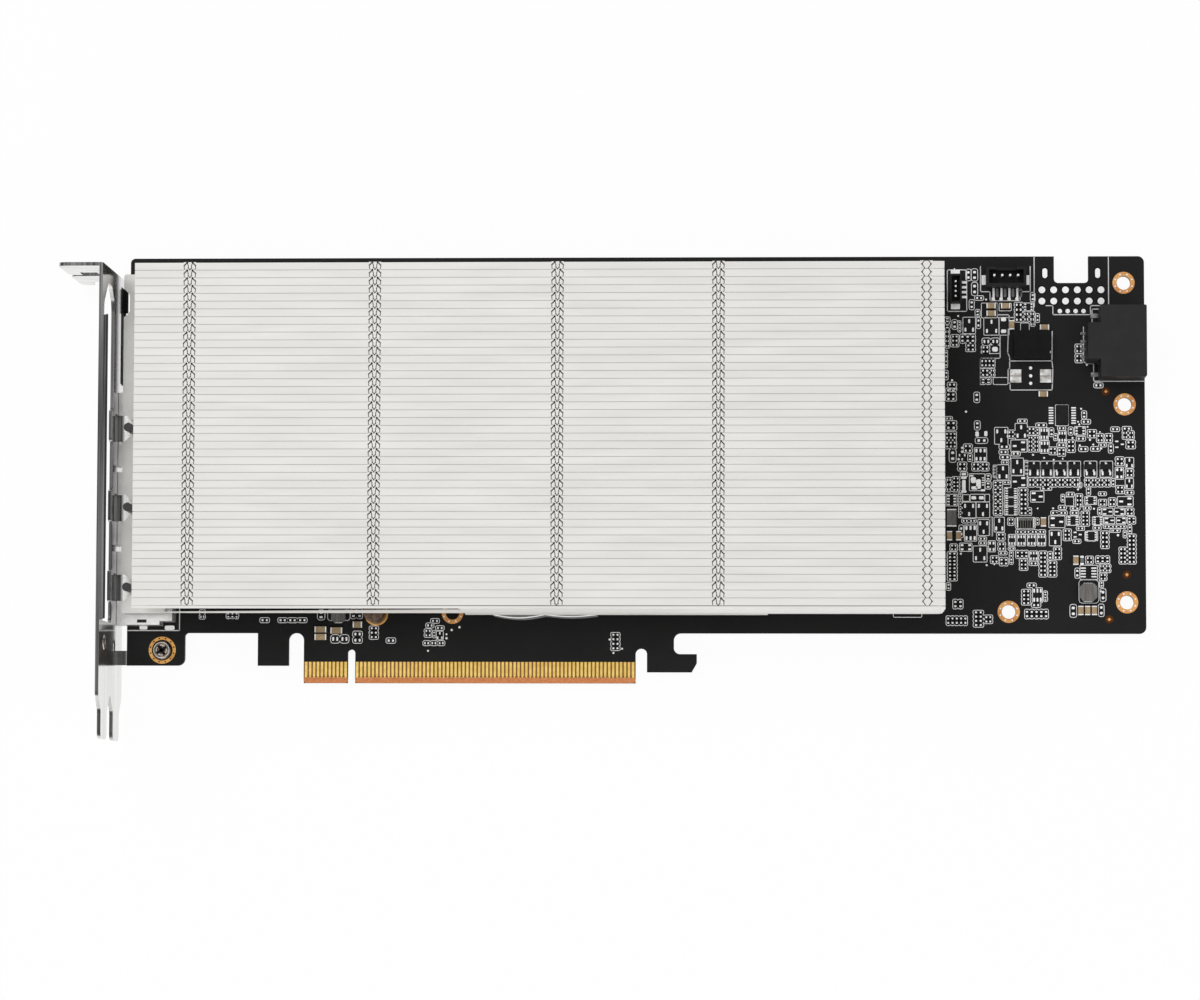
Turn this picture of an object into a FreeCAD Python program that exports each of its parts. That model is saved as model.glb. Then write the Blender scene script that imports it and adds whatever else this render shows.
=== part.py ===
"""Passive accelerator card: a circuit board with a card edge, a two-slot steel bracket and a full
folded-fin heatsink, modelled from the component side (+Z), card edge towards -Y, bracket at -X.

Everything is laid out in card coordinates: X from the board's bracket end, Y from the ends of the
card-edge contacts, Z = 0 on the component face. The last step moves the whole card so that its
origin is under the middle of its bounding box.
"""
import FreeCAD, Part
import math
import os

V = FreeCAD.Vector

# ---------------------------------------------------------------- driving dimensions (mm)
# board
BOARD_TOP_Y = 108.6
BOARD_LOW_Y = 12.7
BOARD_THICK = 1.57
BOARD_CORNER_R = 1.6
MOUNT_HOLE_D = 3.5
MOUNT_RING_D = 5.6
RING_THICK = 0.05
SCREW_HOLE_D = 3.0
TAIL_ZONE_L = 51.8
HOLE_FROM_END = 5.2
TOP_NOTCH_FROM_END = 14.1
TOP_NOTCH_W = 8.7
TOP_NOTCH_D = 6.8
BRACKET_BLOCK_W = 14.8
LEAD_BLOCK_LEFT_X = 33.45
HOOK_TIP_L = 12.6
HOOK_NECK_L = 6.8
HOOK_H = 4.6
# card edge
CONTACT_PITCH = 1.0
CONTACT_W = 0.7
CONTACT_L = 4.0
CONTACT_INSET = 1.4
CONTACT_THICK = 0.05
CONTACT_START_X = 45.85
CONTACTS_SHORT_BLOCK = 11
CONTACTS_LONG_BLOCK = 71
KEY_GAP = 3.0
KEY_NOTCH_W = 1.9
KEY_NOTCH_TOP_Y = 8.5
CONTACT_END_MARGIN = 0.65
# bracket
BRACKET_THICK = 0.9
BRACKET_GAP = 1.7
BRACKET_LOW_Z = -2.9
SLOT_PITCH = 20.32
SLOT_FACE_W = 18.42
BRACKET_TOP_Y = 103.1
BRACKET_TAB_L = 11.3
TAIL_TIP_Y = -14.9
TAIL_SHOULDER_Y = -4.0
TAIL_W = 10.2
TAIL_L = 7.0
WINDOW_LOW_Z = 15.5
WINDOW_HIGH_Z = 33.0
WINDOW_LOW_Y = 14.4
WINDOW_HIGH_Y = 99.0
# heatsink
SINK_LEFT_X = 6.0
SINK_LENGTH = 200.6
SINK_LOW_Y = 17.97
FIN_COUNT = 44
FIN_PITCH = 1.938
FIN_SHEET = 0.3
END_FIN_REACH = 0.77
END_BAR_LEFT_H = 1.0
END_WINDOW_RIGHT_L = 81.0
END_WINDOW_RIGHT_H = 9.0
PLATE_RELIEF_D = 0.6
PLATE_RELIEF_LEFT_L = 5.0
PLATE_SHELF_D = 0.3
PLATE_SHELF_FROM_RIGHT = 43.6
FIN_TOP_Z = 34.0
FIN_JOINT_GAP = 0.16
ZIPPER_W = 2.8
ZIPPER_TIP_W = 1.2
ZIPPER_DEPTH = 1.35
ZIPPER_GAP = 0.18
ZIPPERS_FROM_LEFT = (13.7, 59.8)
ZIPPERS_FROM_RIGHT = (95.5, 55.7, 4.4)
PLATE_LOW_Z = 8.8
PLATE_THICK = 2.6
WING_LEFT_X = 0.0
# display sockets
SOCKET_COUNT = 3
SOCKET_FIRST_Y = 23.7
SOCKET_PITCH = 20.2
SOCKET_W = 18.6
SOCKET_H = 7.4
SOCKET_DEPTH = 14.6
SOCKET_WALL = 0.5
MOUTH_W = 16.2
MOUTH_H = 4.9
MOUTH_DEPTH = 9.0
# power socket
POWER_CENTRE_Y = 85.85
POWER_RECESS = 0.3
POWER_W = 18.1
POWER_DEPTH = 11.5
POWER_H = 11.4
POWER_TAIL_W = 9.25
POWER_TAIL_DEPTH = 3.2
POWER_PITCH = 3.0
SENSE_PITCH = 2.0
# graphics package and power stage
CHIP_CENTRE_X = 96.0
CHIP_CENTRE_Y = 62.0
CHIP_W = 42.0
CHIP_SCREW_OFFSET = 30.0
DIE_W = 24.0
DIE_H = 18.0
CHIP_BALL_GAP = 0.3
CHIP_SUBSTRATE_T = 1.6
DIE_THICK = 0.8
MEMORY_L = 14.0
MEMORY_W = 12.0
MEMORY_T = 1.2
PAD_T = 0.8
PHASE_COUNT = 8
PHASE_PITCH = 9.4
PHASE_FROM_RIGHT = 38.6
COIL_W = 7.0
COIL_H = 5.2
STAGE_W = 5.0
STAGE_T = 0.9
# screws
SCREW_D = 2.5
HEAD_D = 4.6
CHIP_HEAD_D = 5.8
HEAD_H = 1.5
STANDOFF_D = 5.0
FOOT_SCREW_X = 9.05
FOOT_SCREW_Y = 8.25

PLATE_TOP_Z = PLATE_LOW_Z + PLATE_THICK
SINK_RIGHT_X = SINK_LEFT_X + SINK_LENGTH
BOARD_LENGTH = SINK_RIGHT_X + TAIL_ZONE_L
POWER_FRONT_X = BOARD_LENGTH - POWER_RECESS
PHASE_X = SINK_RIGHT_X - PHASE_FROM_RIGHT
BRACKET_W = SLOT_PITCH + SLOT_FACE_W
SINK_TOP_Y = SINK_LOW_Y + (FIN_COUNT - 1) * FIN_PITCH + FIN_PITCH - FIN_JOINT_GAP
BRACKET_IN_X = -BRACKET_GAP
BRACKET_OUT_X = BRACKET_IN_X - BRACKET_THICK
BRACKET_HIGH_Z = BRACKET_LOW_Z + BRACKET_W
BACK_Z = -BOARD_THICK


# ---------------------------------------------------------------- helpers
def box(x0, x1, y0, y1, z0, z1):
    return Part.makeBox(x1 - x0, y1 - y0, z1 - z0, V(x0, y0, z0))


def block(cx, cy, w, d, z0, z1):
    return box(cx - w / 2, cx + w / 2, cy - d / 2, cy + d / 2, z0, z1)


def rod(x, y, z0, z1, d):
    return Part.makeCylinder(d / 2, z1 - z0, V(x, y, z0))


def ring(x, y, z0, z1, outer, inner):
    return rod(x, y, z0, z1, outer).cut(rod(x, y, z0, z1, inner))


def rounded_wire(corners, place):
    """Closed wire through corners (u, v, radius); place(u, v) gives the point in space."""
    edges = []
    count = len(corners)
    trims = []
    for i in range(count):
        u, v, r = corners[i]
        before = corners[i - 1]
        after = corners[(i + 1) % count]
        a = V(before[0] - u, before[1] - v, 0)
        b = V(after[0] - u, after[1] - v, 0)
        a.normalize()
        b.normalize()
        here = V(u, v, 0)
        if r <= 0:
            trims.append((here, None, here))
            continue
        half = a.getAngle(b) / 2
        run = r / math.tan(half)
        middle = a + b
        middle.normalize()
        centre = here + middle * (r / math.sin(half))
        trims.append((here + a * run, centre - middle * r, here + b * run))
    for i in range(count):
        start, arc_mid, end = trims[i]
        after = trims[(i + 1) % count][0]
        if arc_mid is not None:
            points = [place(p.x, p.y) for p in (start, arc_mid, end)]
            edges.append(Part.Arc(*points).toShape())
        if (after - end).Length > 1e-6:
            edges.append(Part.makeLine(place(end.x, end.y), place(after.x, after.y)))
    return Part.Wire(edges)


def plate_xy(corners, z0, z1):
    wire = rounded_wire(corners, lambda u, v: V(u, v, z0))
    return Part.Face(wire).extrude(V(0, 0, z1 - z0))


def plate_yz(corners, x0, x1):
    wire = rounded_wire(corners, lambda u, v: V(x0, u, v))
    return Part.Face(wire).extrude(V(x1 - x0, 0, 0))


def hex_post(x, y, z0, z1, across):
    """Hexagonal post, measured across its flats."""
    turns = [math.radians(60 * i) for i in range(6)]
    reach = across / math.sqrt(3)
    return plate_xy([(x + reach * math.cos(t), y + reach * math.sin(t), 0.0) for t in turns], z0, z1)


def fuse(shapes):
    return shapes[0].multiFuse(shapes[1:]).removeSplitter()


def rect(u0, u1, v0, v1, r=0.0):
    return [(u0, v0, r), (u1, v0, r), (u1, v1, r), (u0, v1, r)]


nodes = {}


def add(name, *solids):
    nodes.setdefault(name, []).extend(solids)


# ---------------------------------------------------------------- where things repeat
mount_holes = [(BOARD_LENGTH - HOLE_FROM_END, BOARD_TOP_Y - 6.8),
               (BOARD_LENGTH - HOLE_FROM_END + 0.1, POWER_CENTRE_Y - 15.05),
               (BOARD_LENGTH - HOLE_FROM_END + 0.4, BOARD_LOW_Y + 7.9),
               (SINK_RIGHT_X + 17.2, BOARD_LOW_Y + 5.5)]
standoff_site = (CHIP_CENTRE_X - 32.4, SINK_LOW_Y - 0.4)
base_sites = [(SINK_RIGHT_X - 10.6, SINK_LOW_Y + 5.0), (SINK_LEFT_X + 18.0, SINK_TOP_Y - 11.1),
              (SINK_RIGHT_X - 10.6, SINK_TOP_Y - 7.1)]
sink_screws = [standoff_site] + base_sites
chip_screws = [(CHIP_CENTRE_X + i * CHIP_SCREW_OFFSET, CHIP_CENTRE_Y + j * CHIP_SCREW_OFFSET)
               for i in (-1, 1) for j in (-1, 1)]
socket_ys = [SOCKET_FIRST_Y + i * SOCKET_PITCH for i in range(SOCKET_COUNT)]
contact_xs = [CONTACT_START_X + i * CONTACT_PITCH for i in range(CONTACTS_SHORT_BLOCK)]
long_start = contact_xs[-1] + KEY_GAP
contact_xs += [long_start + i * CONTACT_PITCH for i in range(CONTACTS_LONG_BLOCK)]
key_x = long_start - KEY_GAP / 2
card_edge_left = CONTACT_START_X - CONTACT_END_MARGIN
card_edge_right = contact_xs[-1] + CONTACT_END_MARGIN


# ---------------------------------------------------------------- circuit board
RELIEF_W = 3.85
HOOK_RELIEF_W = 2.9
BLOCK_Y = 4.4
HOOK_LOW_Y = 2.83
relief_left = card_edge_left - RELIEF_W
hook_x = card_edge_right + HOOK_RELIEF_W
hook_top_y = 8.8
top_notch_x = BOARD_LENGTH - TOP_NOTCH_FROM_END - TOP_NOTCH_W

board_outline = [
    (0.0, BLOCK_Y, 0.0),
    (BRACKET_BLOCK_W, BLOCK_Y, 1.8),
    (BRACKET_BLOCK_W, BOARD_LOW_Y, 1.0),
    (LEAD_BLOCK_LEFT_X, BOARD_LOW_Y, 0.0),
    (LEAD_BLOCK_LEFT_X, BLOCK_Y, 0.0),
    (relief_left, BLOCK_Y, 0.0),
    (relief_left, BOARD_LOW_Y, RELIEF_W * 0.49),
    (card_edge_left, BOARD_LOW_Y, RELIEF_W * 0.49),
    (card_edge_left, 0.0, 0.0),
    (key_x - KEY_NOTCH_W / 2, 0.0, 0.0),
    (key_x - KEY_NOTCH_W / 2, KEY_NOTCH_TOP_Y, KEY_NOTCH_W * 0.49),
    (key_x + KEY_NOTCH_W / 2, KEY_NOTCH_TOP_Y, KEY_NOTCH_W * 0.49),
    (key_x + KEY_NOTCH_W / 2, 0.0, 0.0),
    (card_edge_right, 0.0, 0.0),
    (card_edge_right, hook_top_y, HOOK_RELIEF_W * 0.49),
    (hook_x, hook_top_y, HOOK_RELIEF_W * 0.49),
    (hook_x, HOOK_LOW_Y, 0.0),
    (hook_x + HOOK_TIP_L - 1.3, HOOK_LOW_Y, 0.0),
    (hook_x + HOOK_TIP_L, HOOK_LOW_Y + HOOK_H / 2, 0.0),
    (hook_x + HOOK_TIP_L, HOOK_LOW_Y + HOOK_H, 0.0),
    (hook_x + HOOK_NECK_L, HOOK_LOW_Y + HOOK_H, 1.6),
    (hook_x + HOOK_NECK_L, BOARD_LOW_Y, 1.8),
    (BOARD_LENGTH, BOARD_LOW_Y, BOARD_CORNER_R),
    (BOARD_LENGTH, BOARD_TOP_Y, BOARD_CORNER_R),
    (top_notch_x + TOP_NOTCH_W, BOARD_TOP_Y, 0.0),
    (top_notch_x + TOP_NOTCH_W, BOARD_TOP_Y - TOP_NOTCH_D, 1.1),
    (top_notch_x, BOARD_TOP_Y - TOP_NOTCH_D, 1.1),
    (top_notch_x, BOARD_TOP_Y, 0.0),
    (0.0, BOARD_TOP_Y, 1.2),
]
board = plate_xy(board_outline, BACK_Z, 0.0)
BEVEL_L = 1.15
BEVEL_DROP = 0.45
for side in (0, 1):
    z_face = 0.0 if side else BACK_Z
    z_edge = -BEVEL_DROP if side else BACK_Z + BEVEL_DROP
    z_out = 1.0 if side else BACK_Z - 1.0
    wedge = Part.makePolygon([
        V(card_edge_left - 1, -1.0, z_out), V(card_edge_left - 1, BEVEL_L, z_out),
        V(card_edge_left - 1, BEVEL_L, z_face), V(card_edge_left - 1, 0.0, z_edge),
        V(card_edge_left - 1, -1.0, z_edge), V(card_edge_left - 1, -1.0, z_out)])
    reach = V(card_edge_right - card_edge_left + 2, 0, 0)
    board = board.cut(Part.Face(wedge).extrude(reach))
holes = [rod(x, y, BACK_Z - 1, 1, MOUNT_HOLE_D) for x, y in mount_holes]
holes += [rod(x, y, BACK_Z - 1, 1, SCREW_HOLE_D) for x, y in sink_screws + chip_screws]
holes.append(rod(FOOT_SCREW_X, FOOT_SCREW_Y, BACK_Z - 1, 1, SCREW_HOLE_D))
board = board.cut(Part.makeCompound(holes))
add("circuit_board", board)

for x, y in mount_holes:
    add("mounting_rings", ring(x, y, 0.0, RING_THICK, MOUNT_RING_D, MOUNT_HOLE_D))
    add("mounting_rings", ring(x, y, BACK_Z - RING_THICK, BACK_Z, MOUNT_RING_D, MOUNT_HOLE_D))

for x in contact_xs:
    half = CONTACT_W / 2
    y1 = CONTACT_INSET + CONTACT_L
    add("edge_contacts_front", box(x - half, x + half, CONTACT_INSET, y1, 0.0, CONTACT_THICK))
    add("edge_contacts_back",
        box(x - half, x + half, CONTACT_INSET, y1, BACK_Z - CONTACT_THICK, BACK_Z))


# ---------------------------------------------------------------- bracket
shoulder = (SLOT_FACE_W - TAIL_W) / 2
slot_lows = [BRACKET_LOW_Z, BRACKET_HIGH_Z - SLOT_FACE_W]
tail_top_y = TAIL_TIP_Y + TAIL_L
face_outline = [(BRACKET_TOP_Y, BRACKET_LOW_Z, 0.0), (BRACKET_TOP_Y, BRACKET_HIGH_Z, 0.0)]
for low in reversed(slot_lows):
    high = low + SLOT_FACE_W
    face_outline += [
        (TAIL_SHOULDER_Y, high, 1.5),
        (tail_top_y, high - shoulder, 1.5),
        (TAIL_TIP_Y, high - shoulder, 2.0),
        (TAIL_TIP_Y, low + shoulder, 2.0),
        (tail_top_y, low + shoulder, 1.5),
        (TAIL_SHOULDER_Y, low, 1.5),
    ]
face = plate_yz(face_outline, BRACKET_OUT_X, BRACKET_IN_X)

# open vent window of the second slot, with a chamfered and a rounded upper corner
EAR_W = 7.3
EAR_H = 2.0
window_outline = [
    (WINDOW_LOW_Y, WINDOW_LOW_Z, 2.0),
    (WINDOW_LOW_Y, WINDOW_HIGH_Z, 2.0),
    (WINDOW_HIGH_Y - 5.5, WINDOW_HIGH_Z, 3.0),
    (WINDOW_HIGH_Y, WINDOW_HIGH_Z - 6.5, 2.0),
    (WINDOW_HIGH_Y, WINDOW_LOW_Z + 5.0, 3.0),
    (WINDOW_HIGH_Y - 4.0, WINDOW_LOW_Z, 4.0),
]
window = plate_yz(window_outline, BRACKET_OUT_X - 1, BRACKET_IN_X + 1)
for y in socket_ys:
    ear = [
        (y - EAR_W / 2 - EAR_H * 0.5, WINDOW_LOW_Z - 1, 0.0),
        (y - EAR_W / 2 - EAR_H * 0.5, WINDOW_LOW_Z, 0.0),
        (y - EAR_W / 2, WINDOW_LOW_Z + EAR_H, 0.8),
        (y + EAR_W / 2, WINDOW_LOW_Z + EAR_H, 0.8),
        (y + EAR_W / 2 + EAR_H * 0.5, WINDOW_LOW_Z, 0.0),
        (y + EAR_W / 2 + EAR_H * 0.5, WINDOW_LOW_Z - 1, 0.0),
    ]
    window = window.cut(plate_yz(ear, BRACKET_OUT_X - 2, BRACKET_IN_X + 2))
face = face.cut(window)

# inward lugs over the display sockets, bent out of openings that stay above them
LUG_W = 6.6
LUG_REACH = 5.2
LUG_Z = SOCKET_H + 0.1
LUG_OPENING_H = 4.4
POST_D = 2.2
POST_X = 1.6
MOUTH_MARGIN = 0.25
bracket_parts = []
mouth_z = SOCKET_H / 2
for y in socket_ys:
    opening = box(BRACKET_OUT_X - 1, BRACKET_IN_X + 1, y - LUG_W / 2 - 0.2, y + LUG_W / 2 + 0.2,
                  LUG_Z + BRACKET_THICK, LUG_Z + BRACKET_THICK + LUG_OPENING_H)
    mouth = plate_yz(rect(y - MOUTH_W / 2 - SOCKET_WALL - MOUTH_MARGIN,
                          y + MOUTH_W / 2 + SOCKET_WALL + MOUTH_MARGIN,
                          mouth_z - MOUTH_H / 2 - SOCKET_WALL - MOUTH_MARGIN,
                          mouth_z + MOUTH_H / 2 + SOCKET_WALL + MOUTH_MARGIN, 0.8),
                     BRACKET_OUT_X - 1, BRACKET_IN_X + 1)
    face = face.cut(opening).cut(mouth)
    lug = plate_xy([(BRACKET_OUT_X, y - LUG_W / 2, 0.0),
                    (BRACKET_IN_X + LUG_REACH, y - LUG_W / 2, 1.5),
                    (BRACKET_IN_X + LUG_REACH, y + LUG_W / 2, 1.5),
                    (BRACKET_OUT_X, y + LUG_W / 2, 0.0)],
                   LUG_Z, LUG_Z + BRACKET_THICK)
    bracket_parts.append(lug.cut(rod(POST_X, y, LUG_Z - 1, LUG_Z + 2, 1.7)))
    post = rod(POST_X, y, LUG_Z + BRACKET_THICK, LUG_Z + BRACKET_THICK + 4.6, POST_D)
    post = post.fuse(rod(POST_X, y, SOCKET_H, LUG_Z + BRACKET_THICK, 1.6))
    add("bracket_lug_posts", post.removeSplitter())

# stiffening lip turned inwards along the far edge of the second slot
lip = box(BRACKET_OUT_X, BRACKET_IN_X + BRACKET_THICK, WINDOW_LOW_Y, WINDOW_HIGH_Y - 9,
          BRACKET_HIGH_Z - BRACKET_THICK, BRACKET_HIGH_Z)
bracket_parts.append(lip)

# outward tabs with an open screw notch, one for each slot
TAB_NOTCH_W = 4.42
TAB_NOTCH_DEPTH = 6.4
TAB_NOTCH_FROM_END = 5.6
tab_end_x = BRACKET_OUT_X - (BRACKET_TAB_L - BRACKET_THICK)
notch_x = tab_end_x + TAB_NOTCH_FROM_END
notch_half = TAB_NOTCH_W / 2
for low in slot_lows:
    high = low + SLOT_FACE_W
    tab = plate_xy([(BRACKET_IN_X, low, 0.0), (BRACKET_IN_X, high, 0.0),
                    (tab_end_x, high, 2.0), (tab_end_x, low, 2.0)], 0.0, BRACKET_THICK)
    notch_outline = [(notch_x - notch_half, low - 2, 0.0),
                     (notch_x - notch_half, low + TAB_NOTCH_DEPTH, notch_half * 0.98),
                     (notch_x + notch_half, low + TAB_NOTCH_DEPTH, notch_half * 0.98),
                     (notch_x + notch_half, low - 2, 0.0)]
    tab = tab.cut(plate_xy(notch_outline, -1.0, BRACKET_THICK + 1))
    tab.rotate(V(0, 0, 0), V(1, 0, 0), 90)
    tab.translate(V(0, BRACKET_TOP_Y, 0))
    bracket_parts.append(tab)

# foot turned in under the board, held by one screw
FOOT_LOW_Y = 4.5
FOOT_NECK_W = 3.7
FOOT_END_R = 3.6
foot = plate_xy([(BRACKET_OUT_X, FOOT_LOW_Y, 0.0),
                 (FOOT_SCREW_X + FOOT_END_R, FOOT_LOW_Y, 2.5),
                 (FOOT_SCREW_X + FOOT_END_R, FOOT_SCREW_Y + FOOT_END_R, 2.5),
                 (FOOT_SCREW_X - FOOT_END_R, FOOT_SCREW_Y + FOOT_END_R, 2.5),
                 (FOOT_SCREW_X - FOOT_END_R - 2, FOOT_LOW_Y + FOOT_NECK_W, 2.0),
                 (BRACKET_OUT_X, FOOT_LOW_Y + FOOT_NECK_W, 0.0)],
                BACK_Z - BRACKET_THICK, BACK_Z)
foot = foot.cut(rod(FOOT_SCREW_X, FOOT_SCREW_Y, BACK_Z - 2, BACK_Z + 1, SCREW_D))
bracket_parts.append(foot)
bracket = fuse([face] + bracket_parts)
add("bracket", bracket)


def screw(x, y, head_z, tip_z, shank_d, head_d, head_h):
    """Plain cheese-head screw along Z, its head on the side away from the tip."""
    up = 1 if head_z > tip_z else -1
    head_low = min(head_z, head_z + up * head_h)
    shank = rod(x, y, min(head_z, tip_z), max(head_z, tip_z), shank_d)
    return rod(x, y, head_low, head_low + head_h, head_d).fuse(shank)


def cross_recess(x, y, top_z, head_d, depth):
    arm = head_d * 0.54
    slot_w = head_d * 0.13
    low = top_z - depth
    return block(x, y, arm, slot_w, low, top_z + 1).fuse(block(x, y, slot_w, arm, low, top_z + 1))


FOOT_HEAD_D = 4.6
FOOT_HEAD_H = 1.7
foot_screw = screw(FOOT_SCREW_X, FOOT_SCREW_Y, 0.0, BACK_Z - BRACKET_THICK, SCREW_D - 0.02,
                   FOOT_HEAD_D, FOOT_HEAD_H)
rim = [e for e in foot_screw.Edges if e.BoundBox.ZMin > FOOT_HEAD_H - 0.01]
foot_screw = foot_screw.makeChamfer(FOOT_HEAD_H * 0.35, rim)
foot_screw = foot_screw.cut(cross_recess(FOOT_SCREW_X, FOOT_SCREW_Y, FOOT_HEAD_H, FOOT_HEAD_D, 0.9))
add("bracket_foot_screw", foot_screw)


# ---------------------------------------------------------------- heatsink base
NOTCH_MOUTH_W = 8.6
NOTCH_SLOT_W = 3.8
NOTCH_DEPTH = 4.6
end_fin_y = SINK_LOW_Y - END_FIN_REACH
relief_y = SINK_LOW_Y + PLATE_RELIEF_D
shelf_y = end_fin_y - PLATE_SHELF_D
relief_x0 = SINK_LEFT_X + PLATE_RELIEF_LEFT_L
relief_x1 = SINK_LEFT_X + END_WINDOW_RIGHT_L
shelf_x1 = SINK_RIGHT_X - PLATE_SHELF_FROM_RIGHT
plate = plate_xy([(WING_LEFT_X, end_fin_y, 0.6), (relief_x0, end_fin_y, 0.0),
                  (relief_x0, relief_y, 0.0), (relief_x1, relief_y, 0.0),
                  (relief_x1, shelf_y, 0.0), (shelf_x1, shelf_y, 0.0),
                  (shelf_x1, end_fin_y, 0.0), (SINK_RIGHT_X, end_fin_y, 0.6),
                  (SINK_RIGHT_X, SINK_TOP_Y, 0.6), (WING_LEFT_X, SINK_TOP_Y, 0.6)],
                 PLATE_LOW_Z, PLATE_TOP_Z)
for y in socket_ys:
    notch = plate_xy([(WING_LEFT_X - 1, y - NOTCH_MOUTH_W / 2 - 1.4, 0.0),
                      (WING_LEFT_X + 0.6, y - NOTCH_MOUTH_W / 2 + 0.8, 0.0),
                      (WING_LEFT_X + 2.2, y - NOTCH_SLOT_W / 2, 0.0),
                      (WING_LEFT_X + NOTCH_DEPTH, y - NOTCH_SLOT_W / 2, NOTCH_SLOT_W * 0.49),
                      (WING_LEFT_X + NOTCH_DEPTH, y + NOTCH_SLOT_W / 2, NOTCH_SLOT_W * 0.49),
                      (WING_LEFT_X + 2.2, y + NOTCH_SLOT_W / 2, 0.0),
                      (WING_LEFT_X + 0.6, y + NOTCH_MOUTH_W / 2 - 0.8, 0.0),
                      (WING_LEFT_X - 1, y + NOTCH_MOUTH_W / 2 + 1.4, 0.0)],
                     PLATE_LOW_Z - 1, PLATE_TOP_Z + 1)
    plate = plate.cut(notch)
corner_notch = plate_xy([(WING_LEFT_X - 1, SINK_TOP_Y - 11.6, 0.0),
                         (WING_LEFT_X + 1.5, SINK_TOP_Y - 9.8, 1.5),
                         (WING_LEFT_X + 1.5, SINK_TOP_Y - 5.1, 1.5),
                         (WING_LEFT_X - 1, SINK_TOP_Y - 2.7, 0.0)],
                        PLATE_LOW_Z - 1, PLATE_TOP_Z + 1)
plate = plate.cut(corner_notch)

die_top = CHIP_BALL_GAP + CHIP_SUBSTRATE_T + DIE_THICK
memory_pad_top = MEMORY_T + PAD_T
stage_pad_top = STAGE_T + PAD_T
core_block = plate_xy(rect(CHIP_CENTRE_X - 19, CHIP_CENTRE_X + 19,
                           CHIP_CENTRE_Y - 19, CHIP_CENTRE_Y + 19, 2.0), die_top, PLATE_LOW_Z)
MEMORY_OFFSET = 36.0
memory_sites = []
for j in (-1, 1):
    memory_sites += [(CHIP_CENTRE_X - 9.5, CHIP_CENTRE_Y + j * (MEMORY_OFFSET - 5), 0),
                     (CHIP_CENTRE_X + 9.5, CHIP_CENTRE_Y + j * (MEMORY_OFFSET - 5), 0)]
for i in (-1, 1):
    memory_sites += [(CHIP_CENTRE_X + i * MEMORY_OFFSET, CHIP_CENTRE_Y - 9.5, 1),
                     (CHIP_CENTRE_X + i * MEMORY_OFFSET, CHIP_CENTRE_Y + 9.5, 1)]
pedestals = [core_block]
for j in (-1, 1):
    cy = CHIP_CENTRE_Y + j * (MEMORY_OFFSET - 5)
    pedestals.append(block(CHIP_CENTRE_X, cy, 34.0, 13.0, memory_pad_top, PLATE_LOW_Z))
for i in (-1, 1):
    cx = CHIP_CENTRE_X + i * MEMORY_OFFSET
    pedestals.append(block(cx, CHIP_CENTRE_Y, 13.0, 34.0, memory_pad_top, PLATE_LOW_Z))
stage_x = PHASE_X + COIL_W / 2 + 1.5 + STAGE_W / 2
phase_span = (PHASE_COUNT - 1) * PHASE_PITCH
phase_mid_y = (SINK_LOW_Y + SINK_TOP_Y) / 2
pedestals.append(block(stage_x, phase_mid_y, STAGE_W + 1, phase_span + STAGE_W + 2,
                       stage_pad_top, PLATE_LOW_Z))
SCREW_REACH = 4.0
add("base_standoff", rod(*standoff_site, 0.0, PLATE_LOW_Z, STANDOFF_D).cut(
    rod(*standoff_site, -1, SCREW_REACH, SCREW_D)))
for x, y in base_sites + chip_screws:
    pedestals.append(hex_post(x, y, 0.0, PLATE_LOW_Z, STANDOFF_D))
sink_base = fuse([plate] + pedestals)
wells = [rod(x, y, -1, SCREW_REACH, SCREW_D) for x, y in base_sites + chip_screws]
sink_base = sink_base.cut(Part.makeCompound(wells))
add("heatsink_base", sink_base)

for x, y in sink_screws:
    add("heatsink_screws",
        screw(x, y, BACK_Z, SCREW_REACH - 0.3, SCREW_D - 0.02, HEAD_D, HEAD_H))
for x, y in chip_screws:
    add("chip_screws",
        screw(x, y, BACK_Z, SCREW_REACH - 0.3, SCREW_D - 0.02, CHIP_HEAD_D, HEAD_H))


# ---------------------------------------------------------------- folded, interlocking fins
zipper_xs = [SINK_LEFT_X + x for x in ZIPPERS_FROM_LEFT]
zipper_xs += [SINK_RIGHT_X - x for x in ZIPPERS_FROM_RIGHT]


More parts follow.
